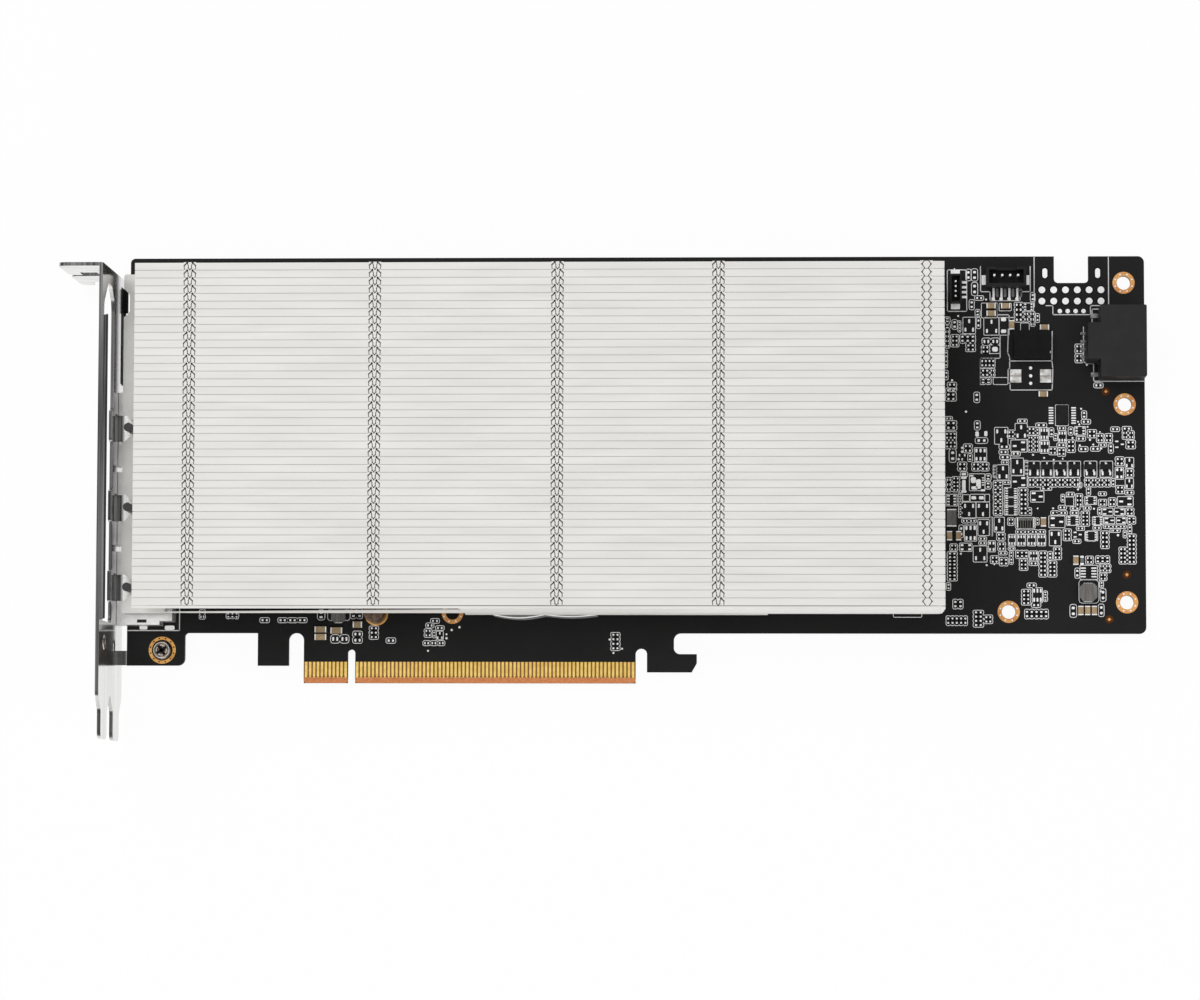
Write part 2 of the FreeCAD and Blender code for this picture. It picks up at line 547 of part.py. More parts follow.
def fin(index):
    """One folded fin: upright web, lower flange on the plate, and an upper flange whose free edge
    has a window at each lock. Tongues from the bend of the fin before it lie in those windows. The
    first fin has none, because the narrow end sheet before it has no tongues."""
    y0 = SINK_LOW_Y + index * FIN_PITCH
    y1 = y0 + FIN_PITCH - FIN_JOINT_GAP
    web_y = y1 - FIN_SHEET
    if index == 0:  # its lower flange is left off, where the plate is cut back
        foot = [(web_y, PLATE_TOP_Z, 0)]
    else:
        foot = [(web_y, PLATE_TOP_Z + FIN_SHEET, 0), (y0, PLATE_TOP_Z + FIN_SHEET, 0),
                (y0, PLATE_TOP_Z, 0)]
    profile = foot + [(y1, PLATE_TOP_Z, 0), (y1, FIN_TOP_Z, 0), (y0, FIN_TOP_Z, 0),
                      (y0, FIN_TOP_Z - FIN_SHEET, 0), (web_y, FIN_TOP_Z - FIN_SHEET, 0)]
    body = plate_yz(profile, SINK_LEFT_X, SINK_RIGHT_X)
    windows = []
    tongues = []
    for x in zipper_xs:
        if index > 0:
            deep = y0 + ZIPPER_DEPTH
            windows.append(plate_xy([(x - ZIPPER_W / 2, y0 - 0.1, 0),
                                     (x + ZIPPER_W / 2, y0 - 0.1, 0),
                                     (x + ZIPPER_TIP_W / 2, deep, 0),
                                     (x - ZIPPER_TIP_W / 2, deep, 0)],
                                    FIN_TOP_Z - FIN_SHEET - 0.1, FIN_TOP_Z + 0.1))
        if index < FIN_COUNT - 1:
            tip = y1 + FIN_JOINT_GAP + ZIPPER_DEPTH - ZIPPER_GAP
            root_w = ZIPPER_W - 2 * ZIPPER_GAP
            tip_w = ZIPPER_TIP_W - 2 * ZIPPER_GAP
            tongues.append(plate_xy([(x - root_w / 2, y1 - 0.1, 0), (x + root_w / 2, y1 - 0.1, 0),
                                     (x + tip_w / 2, tip, 0), (x - tip_w / 2, tip, 0)],
                                    FIN_TOP_Z - FIN_SHEET, FIN_TOP_Z))
    if windows:
        body = body.cut(Part.makeCompound(windows))
    if tongues:
        body = body.multiFuse(tongues).removeSplitter()
    return body


for i in range(FIN_COUNT):
    add("fin_stack", fin(i))

# the last sheet on the card-edge side: a narrow flange over a web with a long tapering window
end_flange = box(SINK_LEFT_X, SINK_RIGHT_X, end_fin_y, SINK_LOW_Y - FIN_JOINT_GAP,
                 FIN_TOP_Z - FIN_SHEET, FIN_TOP_Z)
bar_low = PLATE_TOP_Z
end_web = Part.Face(Part.makePolygon([
    V(relief_x0, end_fin_y, bar_low), V(SINK_RIGHT_X, end_fin_y, bar_low),
    V(SINK_RIGHT_X, end_fin_y, FIN_TOP_Z), V(relief_x1, end_fin_y, FIN_TOP_Z),
    V(relief_x1, end_fin_y, FIN_TOP_Z - END_WINDOW_RIGHT_H),
    V(relief_x0, end_fin_y, bar_low + END_BAR_LEFT_H), V(relief_x0, end_fin_y, bar_low),
])).extrude(V(0, FIN_SHEET, 0))
add("fin_stack", fuse([end_flange, end_web]))


# ---------------------------------------------------------------- display sockets
SHELL_FRONT_X = BRACKET_IN_X - 0.4
for y in socket_ys:
    nose = plate_yz(rect(y - MOUTH_W / 2 - SOCKET_WALL, y + MOUTH_W / 2 + SOCKET_WALL,
                         mouth_z - MOUTH_H / 2 - SOCKET_WALL, mouth_z + MOUTH_H / 2 + SOCKET_WALL,
                         0.0), SHELL_FRONT_X, BRACKET_IN_X + 1)
    wide = box(BRACKET_IN_X + 0.1, BRACKET_IN_X + 11.0, y - SOCKET_W / 2, y + SOCKET_W / 2,
               0.0, SOCKET_H)
    rear = box(BRACKET_IN_X + 11.0, SHELL_FRONT_X + SOCKET_DEPTH, y - SOCKET_W / 2 + 1.0,
               y + SOCKET_W / 2 - 1.0, 0.0, SOCKET_H)
    shell = nose.multiFuse([wide, rear])
    mouth_outline = [(y - MOUTH_W / 2, mouth_z - MOUTH_H / 2, 0.0),
                     (y + MOUTH_W / 2 - 1.8, mouth_z - MOUTH_H / 2, 0.0),
                     (y + MOUTH_W / 2, mouth_z - MOUTH_H / 2 + 1.8, 0.0),
                     (y + MOUTH_W / 2, mouth_z + MOUTH_H / 2, 0.0),
                     (y - MOUTH_W / 2, mouth_z + MOUTH_H / 2, 0.0)]
    cavity = plate_yz(mouth_outline, SHELL_FRONT_X - 1, SHELL_FRONT_X + MOUTH_DEPTH)
    shell = shell.cut(cavity).removeSplitter()
    add("display_socket_shells", shell)
    tongue = box(SHELL_FRONT_X + 1.2, SHELL_FRONT_X + MOUTH_DEPTH, y - 5.6, y + 5.6,
                 mouth_z - 0.75, mouth_z + 0.75)
    root = box(SHELL_FRONT_X + MOUTH_DEPTH - 1.2, SHELL_FRONT_X + MOUTH_DEPTH,
               y - 6.6, y + 6.6, mouth_z - 1.9, mouth_z + 1.9)
    add("display_socket_tongues", tongue.fuse(root).removeSplitter())


# ---------------------------------------------------------------- power socket
POWER_PINS = 6
CELL_W = 2.5
CELL_DEPTH = 9.0
SENSE_COUNT = 4
ROW_LOW_Z = 2.3
SENSE_Z = 9.4
power_back_x = POWER_FRONT_X - POWER_DEPTH
tail_back_x = power_back_x - POWER_TAIL_DEPTH
half_w = POWER_W / 2
half_tail = POWER_TAIL_W / 2
socket_body = plate_xy([(tail_back_x, POWER_CENTRE_Y - half_tail, 0.4),
                        (power_back_x, POWER_CENTRE_Y - half_tail, 0.0),
                        (power_back_x, POWER_CENTRE_Y - half_w, 0.4),
                        (POWER_FRONT_X, POWER_CENTRE_Y - half_w, 0.4),
                        (POWER_FRONT_X, POWER_CENTRE_Y + half_w, 0.4),
                        (power_back_x, POWER_CENTRE_Y + half_w, 0.4),
                        (power_back_x, POWER_CENTRE_Y + half_tail, 0.0),
                        (tail_back_x, POWER_CENTRE_Y + half_tail, 0.4)], 0.0, POWER_H)
pin_ys = [POWER_CENTRE_Y + (i - (POWER_PINS - 1) / 2) * POWER_PITCH for i in range(POWER_PINS)]
row_zs = [ROW_LOW_Z, ROW_LOW_Z + POWER_PITCH]
cells = []
for y in pin_ys:
    for z in row_zs:
        cells.append(plate_yz(rect(y - CELL_W / 2, y + CELL_W / 2, z - CELL_W / 2, z + CELL_W / 2),
                              POWER_FRONT_X - CELL_DEPTH, POWER_FRONT_X + 1))
        add("power_pins", box(POWER_FRONT_X - CELL_DEPTH, POWER_FRONT_X - 2.5,
                              y - 0.5, y + 0.5, z - 0.5, z + 0.5))
sense_ys = [POWER_CENTRE_Y + (i - (SENSE_COUNT - 1) / 2) * SENSE_PITCH for i in range(SENSE_COUNT)]
cells.append(box(POWER_FRONT_X - CELL_DEPTH, POWER_FRONT_X + 1,
                 sense_ys[0] - 1.1, sense_ys[-1] + 1.1, SENSE_Z - 1.0, SENSE_Z + 1.0))
for y in sense_ys:
    add("sense_pins", box(POWER_FRONT_X - CELL_DEPTH, POWER_FRONT_X - 2.5,
                          y - 0.25, y + 0.25, SENSE_Z - 0.25, SENSE_Z + 0.25))
add("power_socket_housing", socket_body.cut(Part.makeCompound(cells)))
LEAD_T = 0.3
for y in (pin_ys[0], pin_ys[-1]):
    add("power_leads", block(power_back_x - 0.9, y, 1.8, 1.1, 0.0, LEAD_T))
for y in sense_ys:
    add("power_leads", block(tail_back_x - 0.6, y, 1.2, 0.6, 0.0, LEAD_T))


# ---------------------------------------------------------------- small headers
FAN_PITCH = 2.0
FAN_X = SINK_RIGHT_X + 16.7
FAN_Y = BOARD_TOP_Y - 5.7
FAN_W = 10.1
FAN_D = 4.9
FAN_H = 5.5
WALL = 0.7
housing = plate_xy(rect(FAN_X - FAN_W / 2, FAN_X + FAN_W / 2, FAN_Y - FAN_D / 2, FAN_Y + FAN_D / 2,
                        0.3), 0.0, FAN_H)
well = box(FAN_X - FAN_W / 2 + WALL, FAN_X + FAN_W / 2 - WALL,
           FAN_Y - FAN_D / 2 + WALL, FAN_Y + FAN_D / 2 - WALL, 1.0, FAN_H + 1)
keyway = box(FAN_X - 2.6, FAN_X + 2.6, FAN_Y + FAN_D / 2 - 2 * WALL, FAN_Y + FAN_D / 2 + 1,
             3.2, FAN_H + 1)
add("fan_header_housing", housing.cut(well).cut(keyway))
for i in range(4):
    x = FAN_X + (i - 1.5) * FAN_PITCH
    add("fan_header_pins", block(x, FAN_Y + 0.4, 0.5, 0.5, 1.0, FAN_H - 0.9))
    add("fan_header_pins", box(x - 0.25, x + 0.25, FAN_Y - FAN_D / 2 - 3.2, FAN_Y - FAN_D / 2,
                               0.0, LEAD_T))
for i in (-1, 1):
    add("header_hold_downs", block(FAN_X + i * (FAN_W / 2 + 0.5), FAN_Y - 0.4, 1.0, 2.4, 0.0, 0.8))

LED_X = SINK_RIGHT_X + 4.0
LED_Y = BOARD_TOP_Y - 8.5
LED_W = 3.1
LED_L = 7.4
LED_H = 3.6
LED_PITCH = 1.25
housing = plate_xy(rect(LED_X - LED_W / 2, LED_X + LED_W / 2, LED_Y - LED_L / 2, LED_Y + LED_L / 2,
                        0.2), 0.0, LED_H)
well = box(LED_X - LED_W / 2 + 0.5, LED_X + LED_W / 2 - 0.5, LED_Y - LED_L / 2 + 0.5,
           LED_Y + LED_L / 2 - 0.5, 0.8, LED_H + 1)
add("status_header_housing", housing.cut(well))
for i in range(4):
    y = LED_Y + (i - 1.5) * LED_PITCH
    add("status_header_pins", block(LED_X, y, 0.4, 0.4, 0.8, LED_H - 0.6))
    add("status_header_pins", box(LED_X + LED_W / 2, LED_X + LED_W / 2 + 1.4,
                                  y - 0.3, y + 0.3, 0.0, LEAD_T))
for j in (-1, 1):
    add("header_hold_downs", block(LED_X, LED_Y + j * (LED_L / 2 + 0.65), 2.3, 1.3, 0.0, 0.8))


# ---------------------------------------------------------------- chips, coils and capacitors
TERMINAL_T = 0.25


def chip_part(body_node, end_node, x, y, length, width, height, along_x):
    """Two-terminal part: a body between two metal ends."""
    inner = length - 2 * TERMINAL_T
    step = (inner + TERMINAL_T) / 2
    if along_x:
        add(body_node, block(x, y, inner, width, 0.0, height))
        add(end_node, block(x - step, y, TERMINAL_T, width, 0.0, height))
        add(end_node, block(x + step, y, TERMINAL_T, width, 0.0, height))
    else:
        add(body_node, block(x, y, width, inner, 0.0, height))
        add(end_node, block(x, y - step, width, TERMINAL_T, 0.0, height))
        add(end_node, block(x, y + step, width, TERMINAL_T, 0.0, height))


CAP_L = 2.3
CAP_W = 1.3
CAP_H = 1.3
SMALL_CAP_L = 2.9
SMALL_CAP_W = 1.5
FILTER_L = 4.4
FILTER_W = 2.4
FILTER_H = 1.3
COIL_FROM_SINK = 23.15
fan_low_y = FAN_Y - FAN_D / 2
coil_x = SINK_RIGHT_X + COIL_FROM_SINK
for x, y, along_x in ((FAN_X - 3.7, fan_low_y - 4.55, 1), (FAN_X - 3.7, fan_low_y - 6.45, 1),
                      (FAN_X, fan_low_y - 4.55, 1), (coil_x - 4.95, POWER_CENTRE_Y + 5.15, 0),
                      (coil_x + 3.35, POWER_CENTRE_Y + 4.55, 1),
                      (coil_x + 2.95, POWER_CENTRE_Y - 12.45, 1),
                      (SINK_RIGHT_X + 26.0, BOARD_LOW_Y + 28.2, 0),
                      (SINK_RIGHT_X + 2.3, BOARD_LOW_Y + 24.7, 0),
                      (SINK_RIGHT_X + 4.6, BOARD_LOW_Y + 24.7, 0),
                      (SINK_RIGHT_X + 34.1, BOARD_LOW_Y + 18.5, 0),
                      (BOARD_LENGTH - 16.5, BOARD_LOW_Y + 5.8, 0),
                      (BOARD_LENGTH - 14.8, BOARD_LOW_Y + 5.8, 0),
                      (BOARD_LENGTH - 13.1, BOARD_LOW_Y + 5.8, 0)):
    chip_part("ceramic_capacitors", "capacitor_ends", x, y, CAP_L, CAP_W, CAP_H, along_x)
for x, y, length in ((card_edge_left + 4.3, BOARD_LOW_Y + 0.85, SMALL_CAP_L),
                     (card_edge_left + 4.3, BOARD_LOW_Y - 1.05, SMALL_CAP_L),
                     (card_edge_left + 8.35, BOARD_LOW_Y + 0.6, SMALL_CAP_L),
                     (card_edge_left + 13.7, BOARD_LOW_Y + 2.1, CAP_L)):
    chip_part("ceramic_capacitors", "capacitor_ends", x, y, length, SMALL_CAP_W, SMALL_CAP_W, True)
chip_part("small_coils", "small_coil_ends", SINK_RIGHT_X + 21.5, BOARD_LOW_Y + 28.0,
          FILTER_L, FILTER_W, FILTER_H, True)
chip_part("small_coils", "small_coil_ends", SINK_RIGHT_X + 2.85, BOARD_LOW_Y + 29.25,
          FILTER_L, FILTER_W, FILTER_H, False)

COIL_L = 9.1
COIL_D = 7.0
FILTER_COIL_H = 3.8
add("filter_coil", plate_xy(rect(coil_x - COIL_L / 2, coil_x + COIL_L / 2,
                                 POWER_CENTRE_Y - COIL_D / 2, POWER_CENTRE_Y + COIL_D / 2, 0.5),
                            0.0, FILTER_COIL_H))
SMALL_COIL_FOOT = 0.1
for x, y, w, h in ((BOARD_LENGTH - 14.6, BOARD_LOW_Y + 10.4, 4.4, 2.4),
                   (card_edge_left + 8.8, BOARD_LOW_Y + 4.5, 3.6, 1.6)):
    half = w / 2
    cut = w * 0.2
    add("small_coils", plate_xy([(x - half + cut, y - half, 0.0), (x + half - cut, y - half, 0.0),
                                 (x + half, y - half + cut, 0.0), (x + half, y + half - cut, 0.0),
                                 (x + half - cut, y + half, 0.0), (x - half + cut, y + half, 0.0),
                                 (x - half, y + half - cut, 0.0), (x - half, y - half + cut, 0.0)],
                                SMALL_COIL_FOOT, h))
    add("small_coil_ends", block(x, y, w * 0.5, w * 1.1, 0.0, SMALL_COIL_FOOT))

TRANSISTOR_L = 2.9
TRANSISTOR_W = 1.3
TRANSISTOR_H = 1.0
TRANSISTORS_FROM_SINK = (23.7, 27.0, 30.3, 33.9, 37.8, 41.8)
TRANSISTOR_FOOT = 0.1
transistor_y = POWER_CENTRE_Y - 30.95
for x in [SINK_RIGHT_X + step for step in TRANSISTORS_FROM_SINK]:
    add("transistors", block(x, transistor_y, TRANSISTOR_L, TRANSISTOR_W,
                             TRANSISTOR_FOOT, TRANSISTOR_H))
    for i, j in ((0, 1), (-1, -1), (1, -1)):
        add("transistor_leads", block(x + i * 0.95, transistor_y + j * (TRANSISTOR_W / 2 + 0.3),
                                      0.4, 0.6, 0.0, 0.2))
LOGIC_L = 4.8
LOGIC_W = 2.9
LOGIC_T = 0.9
logic_x = SINK_RIGHT_X + 31.0
logic_y = POWER_CENTRE_Y - 17.65
add("logic_chips", block(logic_x, logic_y, LOGIC_W, LOGIC_L, 0.0, LOGIC_T))

coil_ys = [phase_mid_y + (i - (PHASE_COUNT - 1) / 2) * PHASE_PITCH for i in range(PHASE_COUNT)]
for y in coil_ys:
    add("phase_coils", block(PHASE_X, y, COIL_W, COIL_W, 0.0, COIL_H))
    add("power_stages", block(stage_x, y, STAGE_W, STAGE_W, 0.0, STAGE_T))
    add("power_stage_pads", block(stage_x, y, STAGE_W, STAGE_W, STAGE_T, stage_pad_top))

chip_top = CHIP_BALL_GAP + CHIP_SUBSTRATE_T
add("processor_package", plate_xy(rect(CHIP_CENTRE_X - CHIP_W / 2, CHIP_CENTRE_X + CHIP_W / 2,
                                       CHIP_CENTRE_Y - CHIP_W / 2, CHIP_CENTRE_Y + CHIP_W / 2),
                                  CHIP_BALL_GAP, chip_top))
add("processor_solder_balls", block(CHIP_CENTRE_X, CHIP_CENTRE_Y, CHIP_W - 3, CHIP_W - 3,
                                    0.0, CHIP_BALL_GAP))
add("processor_die", block(CHIP_CENTRE_X, CHIP_CENTRE_Y, DIE_W, DIE_H, chip_top, die_top))
for x, y, turned in memory_sites:
    w, d = (MEMORY_W, MEMORY_L) if turned else (MEMORY_L, MEMORY_W)
    add("memory_chips", block(x, y, w, d, 0.0, MEMORY_T))
    add("memory_pads", block(x, y, w - 1, d - 1, MEMORY_T, memory_pad_top))

# long soft pad that shows along the lower edge of the heatsink
EDGE_PAD_L = 26.2
EDGE_PAD_W = 3.4
edge_pad_x = CHIP_CENTRE_X - 2.2
edge_pad_y = shelf_y - 0.5
add("edge_thermal_pad", plate_xy(rect(edge_pad_x, edge_pad_x + EDGE_PAD_L,
                                      edge_pad_y, edge_pad_y + EDGE_PAD_W, 0.6),
                                 0.0, PLATE_LOW_Z))


# ---------------------------------------------------------------- place and write
whole = Part.makeCompound([s for solids in nodes.values() for s in solids])
bounds = whole.BoundBox
shift = V(-(bounds.XMin + bounds.XMax) / 2, -(bounds.YMin + bounds.YMax) / 2, -bounds.ZMin)
os.makedirs("parts", exist_ok=True)
for name, solids in nodes.items():
    shape = solids[0] if len(solids) == 1 else Part.makeCompound(solids)
    shape.translate(shift)
    shape.exportStep("parts/" + name + ".step")
print("box %.3f x %.3f x %.3f, shift %.4f %.4f %.4f" % (
    bounds.XLength, bounds.YLength, bounds.ZLength, shift.x, shift.y, shift.z))
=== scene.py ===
"""Looks of the passive accelerator card: materials, board print, small parts, light, camera."""
import math

import bmesh
import bpy
from mathutils import Matrix, Vector


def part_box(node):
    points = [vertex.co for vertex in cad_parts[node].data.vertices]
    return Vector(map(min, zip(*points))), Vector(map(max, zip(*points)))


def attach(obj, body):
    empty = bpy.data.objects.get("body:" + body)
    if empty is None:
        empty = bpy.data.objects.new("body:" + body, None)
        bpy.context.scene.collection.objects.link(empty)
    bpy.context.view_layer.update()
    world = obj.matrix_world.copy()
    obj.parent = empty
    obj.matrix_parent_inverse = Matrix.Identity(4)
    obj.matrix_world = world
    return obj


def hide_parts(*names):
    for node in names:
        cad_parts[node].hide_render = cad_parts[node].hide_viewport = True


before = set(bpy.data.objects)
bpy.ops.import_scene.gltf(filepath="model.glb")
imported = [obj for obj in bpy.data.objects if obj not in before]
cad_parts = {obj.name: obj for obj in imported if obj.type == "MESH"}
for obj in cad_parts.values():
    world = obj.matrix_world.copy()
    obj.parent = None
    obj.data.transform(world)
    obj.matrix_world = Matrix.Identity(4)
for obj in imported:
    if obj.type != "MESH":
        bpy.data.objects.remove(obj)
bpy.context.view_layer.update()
MM = 0.001

# ------------------------------------------------------------------ the board as the scene's ruler
BOARD_LOW, BOARD_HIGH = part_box("circuit_board")
FACE_Z = BOARD_HIGH[2]
LEFT = BOARD_LOW[0]
EDGE_Y = BOARD_LOW[1]


def at(x, y, z=0.0):
    """Card millimetres: from the board's bracket end, the contacts' ends and the front face."""
    return Vector((LEFT + x * MM, EDGE_Y + y * MM, FACE_Z + z * MM))


def top_of(box):
    """Height of a box's top over the board, in card millimetres."""
    return (box[1][2] - FACE_Z) / MM


def ends_of(box):
    """Lowest and highest X of a box, in card millimetres."""
    return (box[0][0] - LEFT) / MM, (box[1][0] - LEFT) / MM


# ------------------------------------------------------------------ materials
NOISE_ROUGH = 0.55
GLOSS_FINER = 2.3        # how much finer the gloss varies than the colour
RELIEF_DEPTH = 0.0001    # metres


def new_material(name):
    material = bpy.data.materials.new(name)
    material.use_nodes = True
    tree = material.node_tree
    shader = tree.nodes["Principled BSDF"]
    return material, tree, shader


def noise(tree, scale, detail=4.0, stretch=(1, 1, 1)):
    coords = tree.nodes.new("ShaderNodeTexCoord")
    mapping = tree.nodes.new("ShaderNodeMapping")
    mapping.inputs["Scale"].default_value = stretch
    texture = tree.nodes.new("ShaderNodeTexNoise")
    texture.inputs["Scale"].default_value = scale
    texture.inputs["Detail"].default_value = detail
    texture.inputs["Roughness"].default_value = NOISE_ROUGH
    tree.links.new(coords.outputs["Object"], mapping.inputs["Vector"])
    tree.links.new(mapping.outputs["Vector"], texture.inputs["Vector"])
    return texture.outputs["Fac"]


def ramp(tree, source, stops):
    node = tree.nodes.new("ShaderNodeValToRGB")
    elements = node.color_ramp.elements
    while len(elements) < len(stops):
        elements.new(0.5)
    for element, (position, color) in zip(elements, stops):
        element.position = position
        element.color = (*color, 1.0)
    tree.links.new(source, node.inputs["Fac"])
    return node.outputs["Color"]


def bump(tree, source, shader, strength):
    node = tree.nodes.new("ShaderNodeBump")
    node.inputs["Strength"].default_value = strength
    node.inputs["Distance"].default_value = RELIEF_DEPTH
    tree.links.new(source, node.inputs["Height"])
    tree.links.new(node.outputs["Normal"], shader.inputs["Normal"])


def remap(tree, source, low, high, to_low=0.0, to_high=1.0):
    node = tree.nodes.new("ShaderNodeMapRange")
    for socket, value in (("From Min", low), ("From Max", high), ("To Min", to_low),
                          ("To Max", to_high)):
        node.inputs[socket].default_value = value
    tree.links.new(source, node.inputs["Value"])
    return node.outputs["Result"]


def combine(tree, operation, first, second):
    node = tree.nodes.new("ShaderNodeMath")
    node.operation = operation
    tree.links.new(first, node.inputs[0])
    tree.links.new(second, node.inputs[1])
    return node.outputs["Value"]


def surface(name, dark, light, metal=0.0, rough=(0.4, 0.6), scale=300.0, stretch=(1, 1, 1),
            relief=0.1, relief_scale=1500.0, specular=0.5):
    """Noise-driven colour between two tones, with a roughness range and a fine relief."""
    material, tree, shader = new_material(name)
    shader.inputs["Metallic"].default_value = metal
    shader.inputs["Specular IOR Level"].default_value = specular
    tone = noise(tree, scale, stretch=stretch)
    color = ramp(tree, tone, [(0.3, dark), (0.7, light)])
    tree.links.new(color, shader.inputs["Base Color"])
    gloss = remap(tree, noise(tree, scale * GLOSS_FINER, stretch=stretch), 0.0, 1.0, *rough)
    tree.links.new(gloss, shader.inputs["Roughness"])
    if relief:
        bump(tree, noise(tree, relief_scale, detail=2.0, stretch=stretch), shader, relief)
    return material


def grey(value, warm=0.0):
    return (value + warm, value, value - warm)


M = {
    "mask": surface("board_mask", grey(0.0085), grey(0.0115), rough=(0.42, 0.55), scale=60.0,
                    relief=0.04, relief_scale=900.0, specular=0.1),
    "gold": surface("contact_gold", (0.72, 0.44, 0.075), (0.92, 0.66, 0.18), metal=0.3,
                    rough=(0.28, 0.42), scale=700.0, relief=0.03),
    "bare_edge": surface("bare_laminate", (0.46, 0.135, 0.03), (0.62, 0.235, 0.07),
                         rough=(0.45, 0.6), scale=1400.0),
    "contact_gap": surface("contact_gap", (0.15, 0.055, 0.007), (0.24, 0.1, 0.015),
                           rough=(0.45, 0.6), scale=900.0),
    "ring_gold": surface("ring_gold", (0.53, 0.21, 0.055), (0.75, 0.4, 0.13), metal=0.3,
                         rough=(0.3, 0.45), scale=350.0),
    "brass": surface("ring_brass", (0.5, 0.22, 0.04), (0.8, 0.46, 0.14), metal=0.5,
                     rough=(0.3, 0.45), scale=420.0),
    "fins": surface("fin_sheet", (0.71, 0.7, 0.675), (0.78, 0.77, 0.745), metal=0.06,
                    rough=(0.48, 0.6), scale=40.0, stretch=(1, 8, 8), relief=0.05,
                    relief_scale=700.0, specular=0.2),
    "sink_base": surface("sink_base", (0.6, 0.59, 0.56), (0.7, 0.69, 0.665), metal=0.2,
                         rough=(0.45, 0.6), scale=120.0, relief=0.08, relief_scale=900.0),
    "steel": surface("screw_steel", grey(0.45), grey(0.62), metal=0.9, rough=(0.22, 0.38),
                     scale=600.0),
    "bronze": surface("standoff_bronze", (0.03, 0.022, 0.017), (0.2, 0.13, 0.085), metal=0.6,
                      rough=(0.25, 0.4), scale=1100.0),
    "pad_dark": surface("pad_edge", grey(0.1), grey(0.2), rough=(0.6, 0.8), scale=500.0),
    "dark_steel": surface("dark_screw", grey(0.1), grey(0.34), metal=0.9, rough=(0.15, 0.3),
                          scale=1300.0),
    "warm_steel": surface("foot_screw", (0.08, 0.06, 0.042), (0.27, 0.215, 0.16), metal=0.9,
                          rough=(0.15, 0.3), scale=1300.0),
    "black_steel": surface("black_oxide", grey(0.008), grey(0.02), metal=0.1, rough=(0.3, 0.45),
                           scale=500.0),
    "shell": surface("socket_shell", grey(0.5, 0.01), grey(0.68, 0.01), metal=0.85,
                     rough=(0.22, 0.38), scale=200.0),
    "black_plastic": surface("black_plastic", grey(0.0095), grey(0.0145), rough=(0.5, 0.65),
                             scale=250.0, relief=0.12, relief_scale=2600.0, specular=0.2),
    "tin": surface("solder_tin", grey(0.78), grey(0.94), metal=0.3, rough=(0.25, 0.4),
                   scale=900.0, relief=0.1, relief_scale=1800.0),
    "ceramic": surface("capacitor_ceramic", (0.25, 0.165, 0.085), (0.42, 0.31, 0.175),
                       rough=(0.35, 0.5), scale=500.0, relief=0.04),
    "ferrite": surface("ferrite", (0.17, 0.165, 0.155), (0.25, 0.24, 0.225), rough=(0.55, 0.7),
                       scale=500.0, relief=0.3, relief_scale=1800.0),
    "black_ferrite": surface("coil_black", grey(0.0032), grey(0.006), rough=(0.6, 0.75),
                             scale=400.0, relief=0.1, relief_scale=1800.0, specular=0.1),
    "epoxy": surface("chip_epoxy", grey(0.008), grey(0.013), rough=(0.5, 0.62), scale=600.0,
                     relief=0.15, relief_scale=3000.0, specular=0.12),
    "header_plastic": surface("header_plastic", grey(0.006), grey(0.01), rough=(0.5, 0.65),
                              scale=250.0, relief=0.12, relief_scale=2600.0, specular=0.15),
    "choke": surface("choke_body", (0.07, 0.067, 0.062), (0.17, 0.165, 0.155),
                     rough=(0.55, 0.7), scale=800.0, stretch=(2.5, 0.3, 1), relief=0.3,
                     relief_scale=1800.0),
    "dim_copper": surface("dim_copper", (0.045, 0.012, 0.0015), (0.095, 0.028, 0.003),
                          rough=(0.45, 0.6), scale=500.0, specular=0.1),
    "substrate": surface("package_laminate", (0.015, 0.07, 0.03), (0.02, 0.1, 0.045)),
    "silicon": surface("silicon", grey(0.1), grey(0.14), metal=0.6, rough=(0.08, 0.15)),
    "pad": surface("thermal_pad", (0.5, 0.5, 0.49), (0.62, 0.62, 0.61), rough=(0.7, 0.85),
                   scale=400.0, relief=0.4, relief_scale=900.0),
    "print": surface("board_print", grey(0.78), grey(0.92), rough=(0.6, 0.7), scale=1500.0,
                     relief=0.0),
    "line": surface("board_lines", grey(0.58), grey(0.72), rough=(0.6, 0.7), scale=1500.0,
                    relief=0.0),
    # Near-black for the print's clearances, also used as painted shade in holes and recesses
    "bare_black": surface("print_clearance_and_shade", grey(0.002), grey(0.004), rough=(0.5, 0.6),
                          specular=0.1),
    "fold_dark": surface("fold_shadow", (0.03, 0.026, 0.021), (0.06, 0.052, 0.043),
                         rough=(0.55, 0.7), scale=900.0),
    # Grey of the painted shade along the tabs' creases
    "fold_mid_shade": surface("fold_crease_shade", (0.07, 0.062, 0.05), (0.15, 0.134, 0.11),
                        rough=(0.55, 0.7), scale=900.0),
    # Mid-grey of the painted shade in the gaps between fins
    "fin_gap_shade_grey": surface("fin_gap_shade_tone", (0.5, 0.49, 0.46), (0.6, 0.585, 0.555),
                          rough=(0.55, 0.7), scale=60.0),
    "wet_solder": surface("wet_solder", (0.3, 0.275, 0.24), grey(0.97), metal=0.2,
                          rough=(0.3, 0.45), scale=520.0, stretch=(1, 1.6, 1), relief=0.3),
    "solder": surface("solder_pad", grey(0.88), grey(0.97), metal=0.1, rough=(0.3, 0.45),
                      scale=900.0, relief=0.1, relief_scale=1800.0),
}


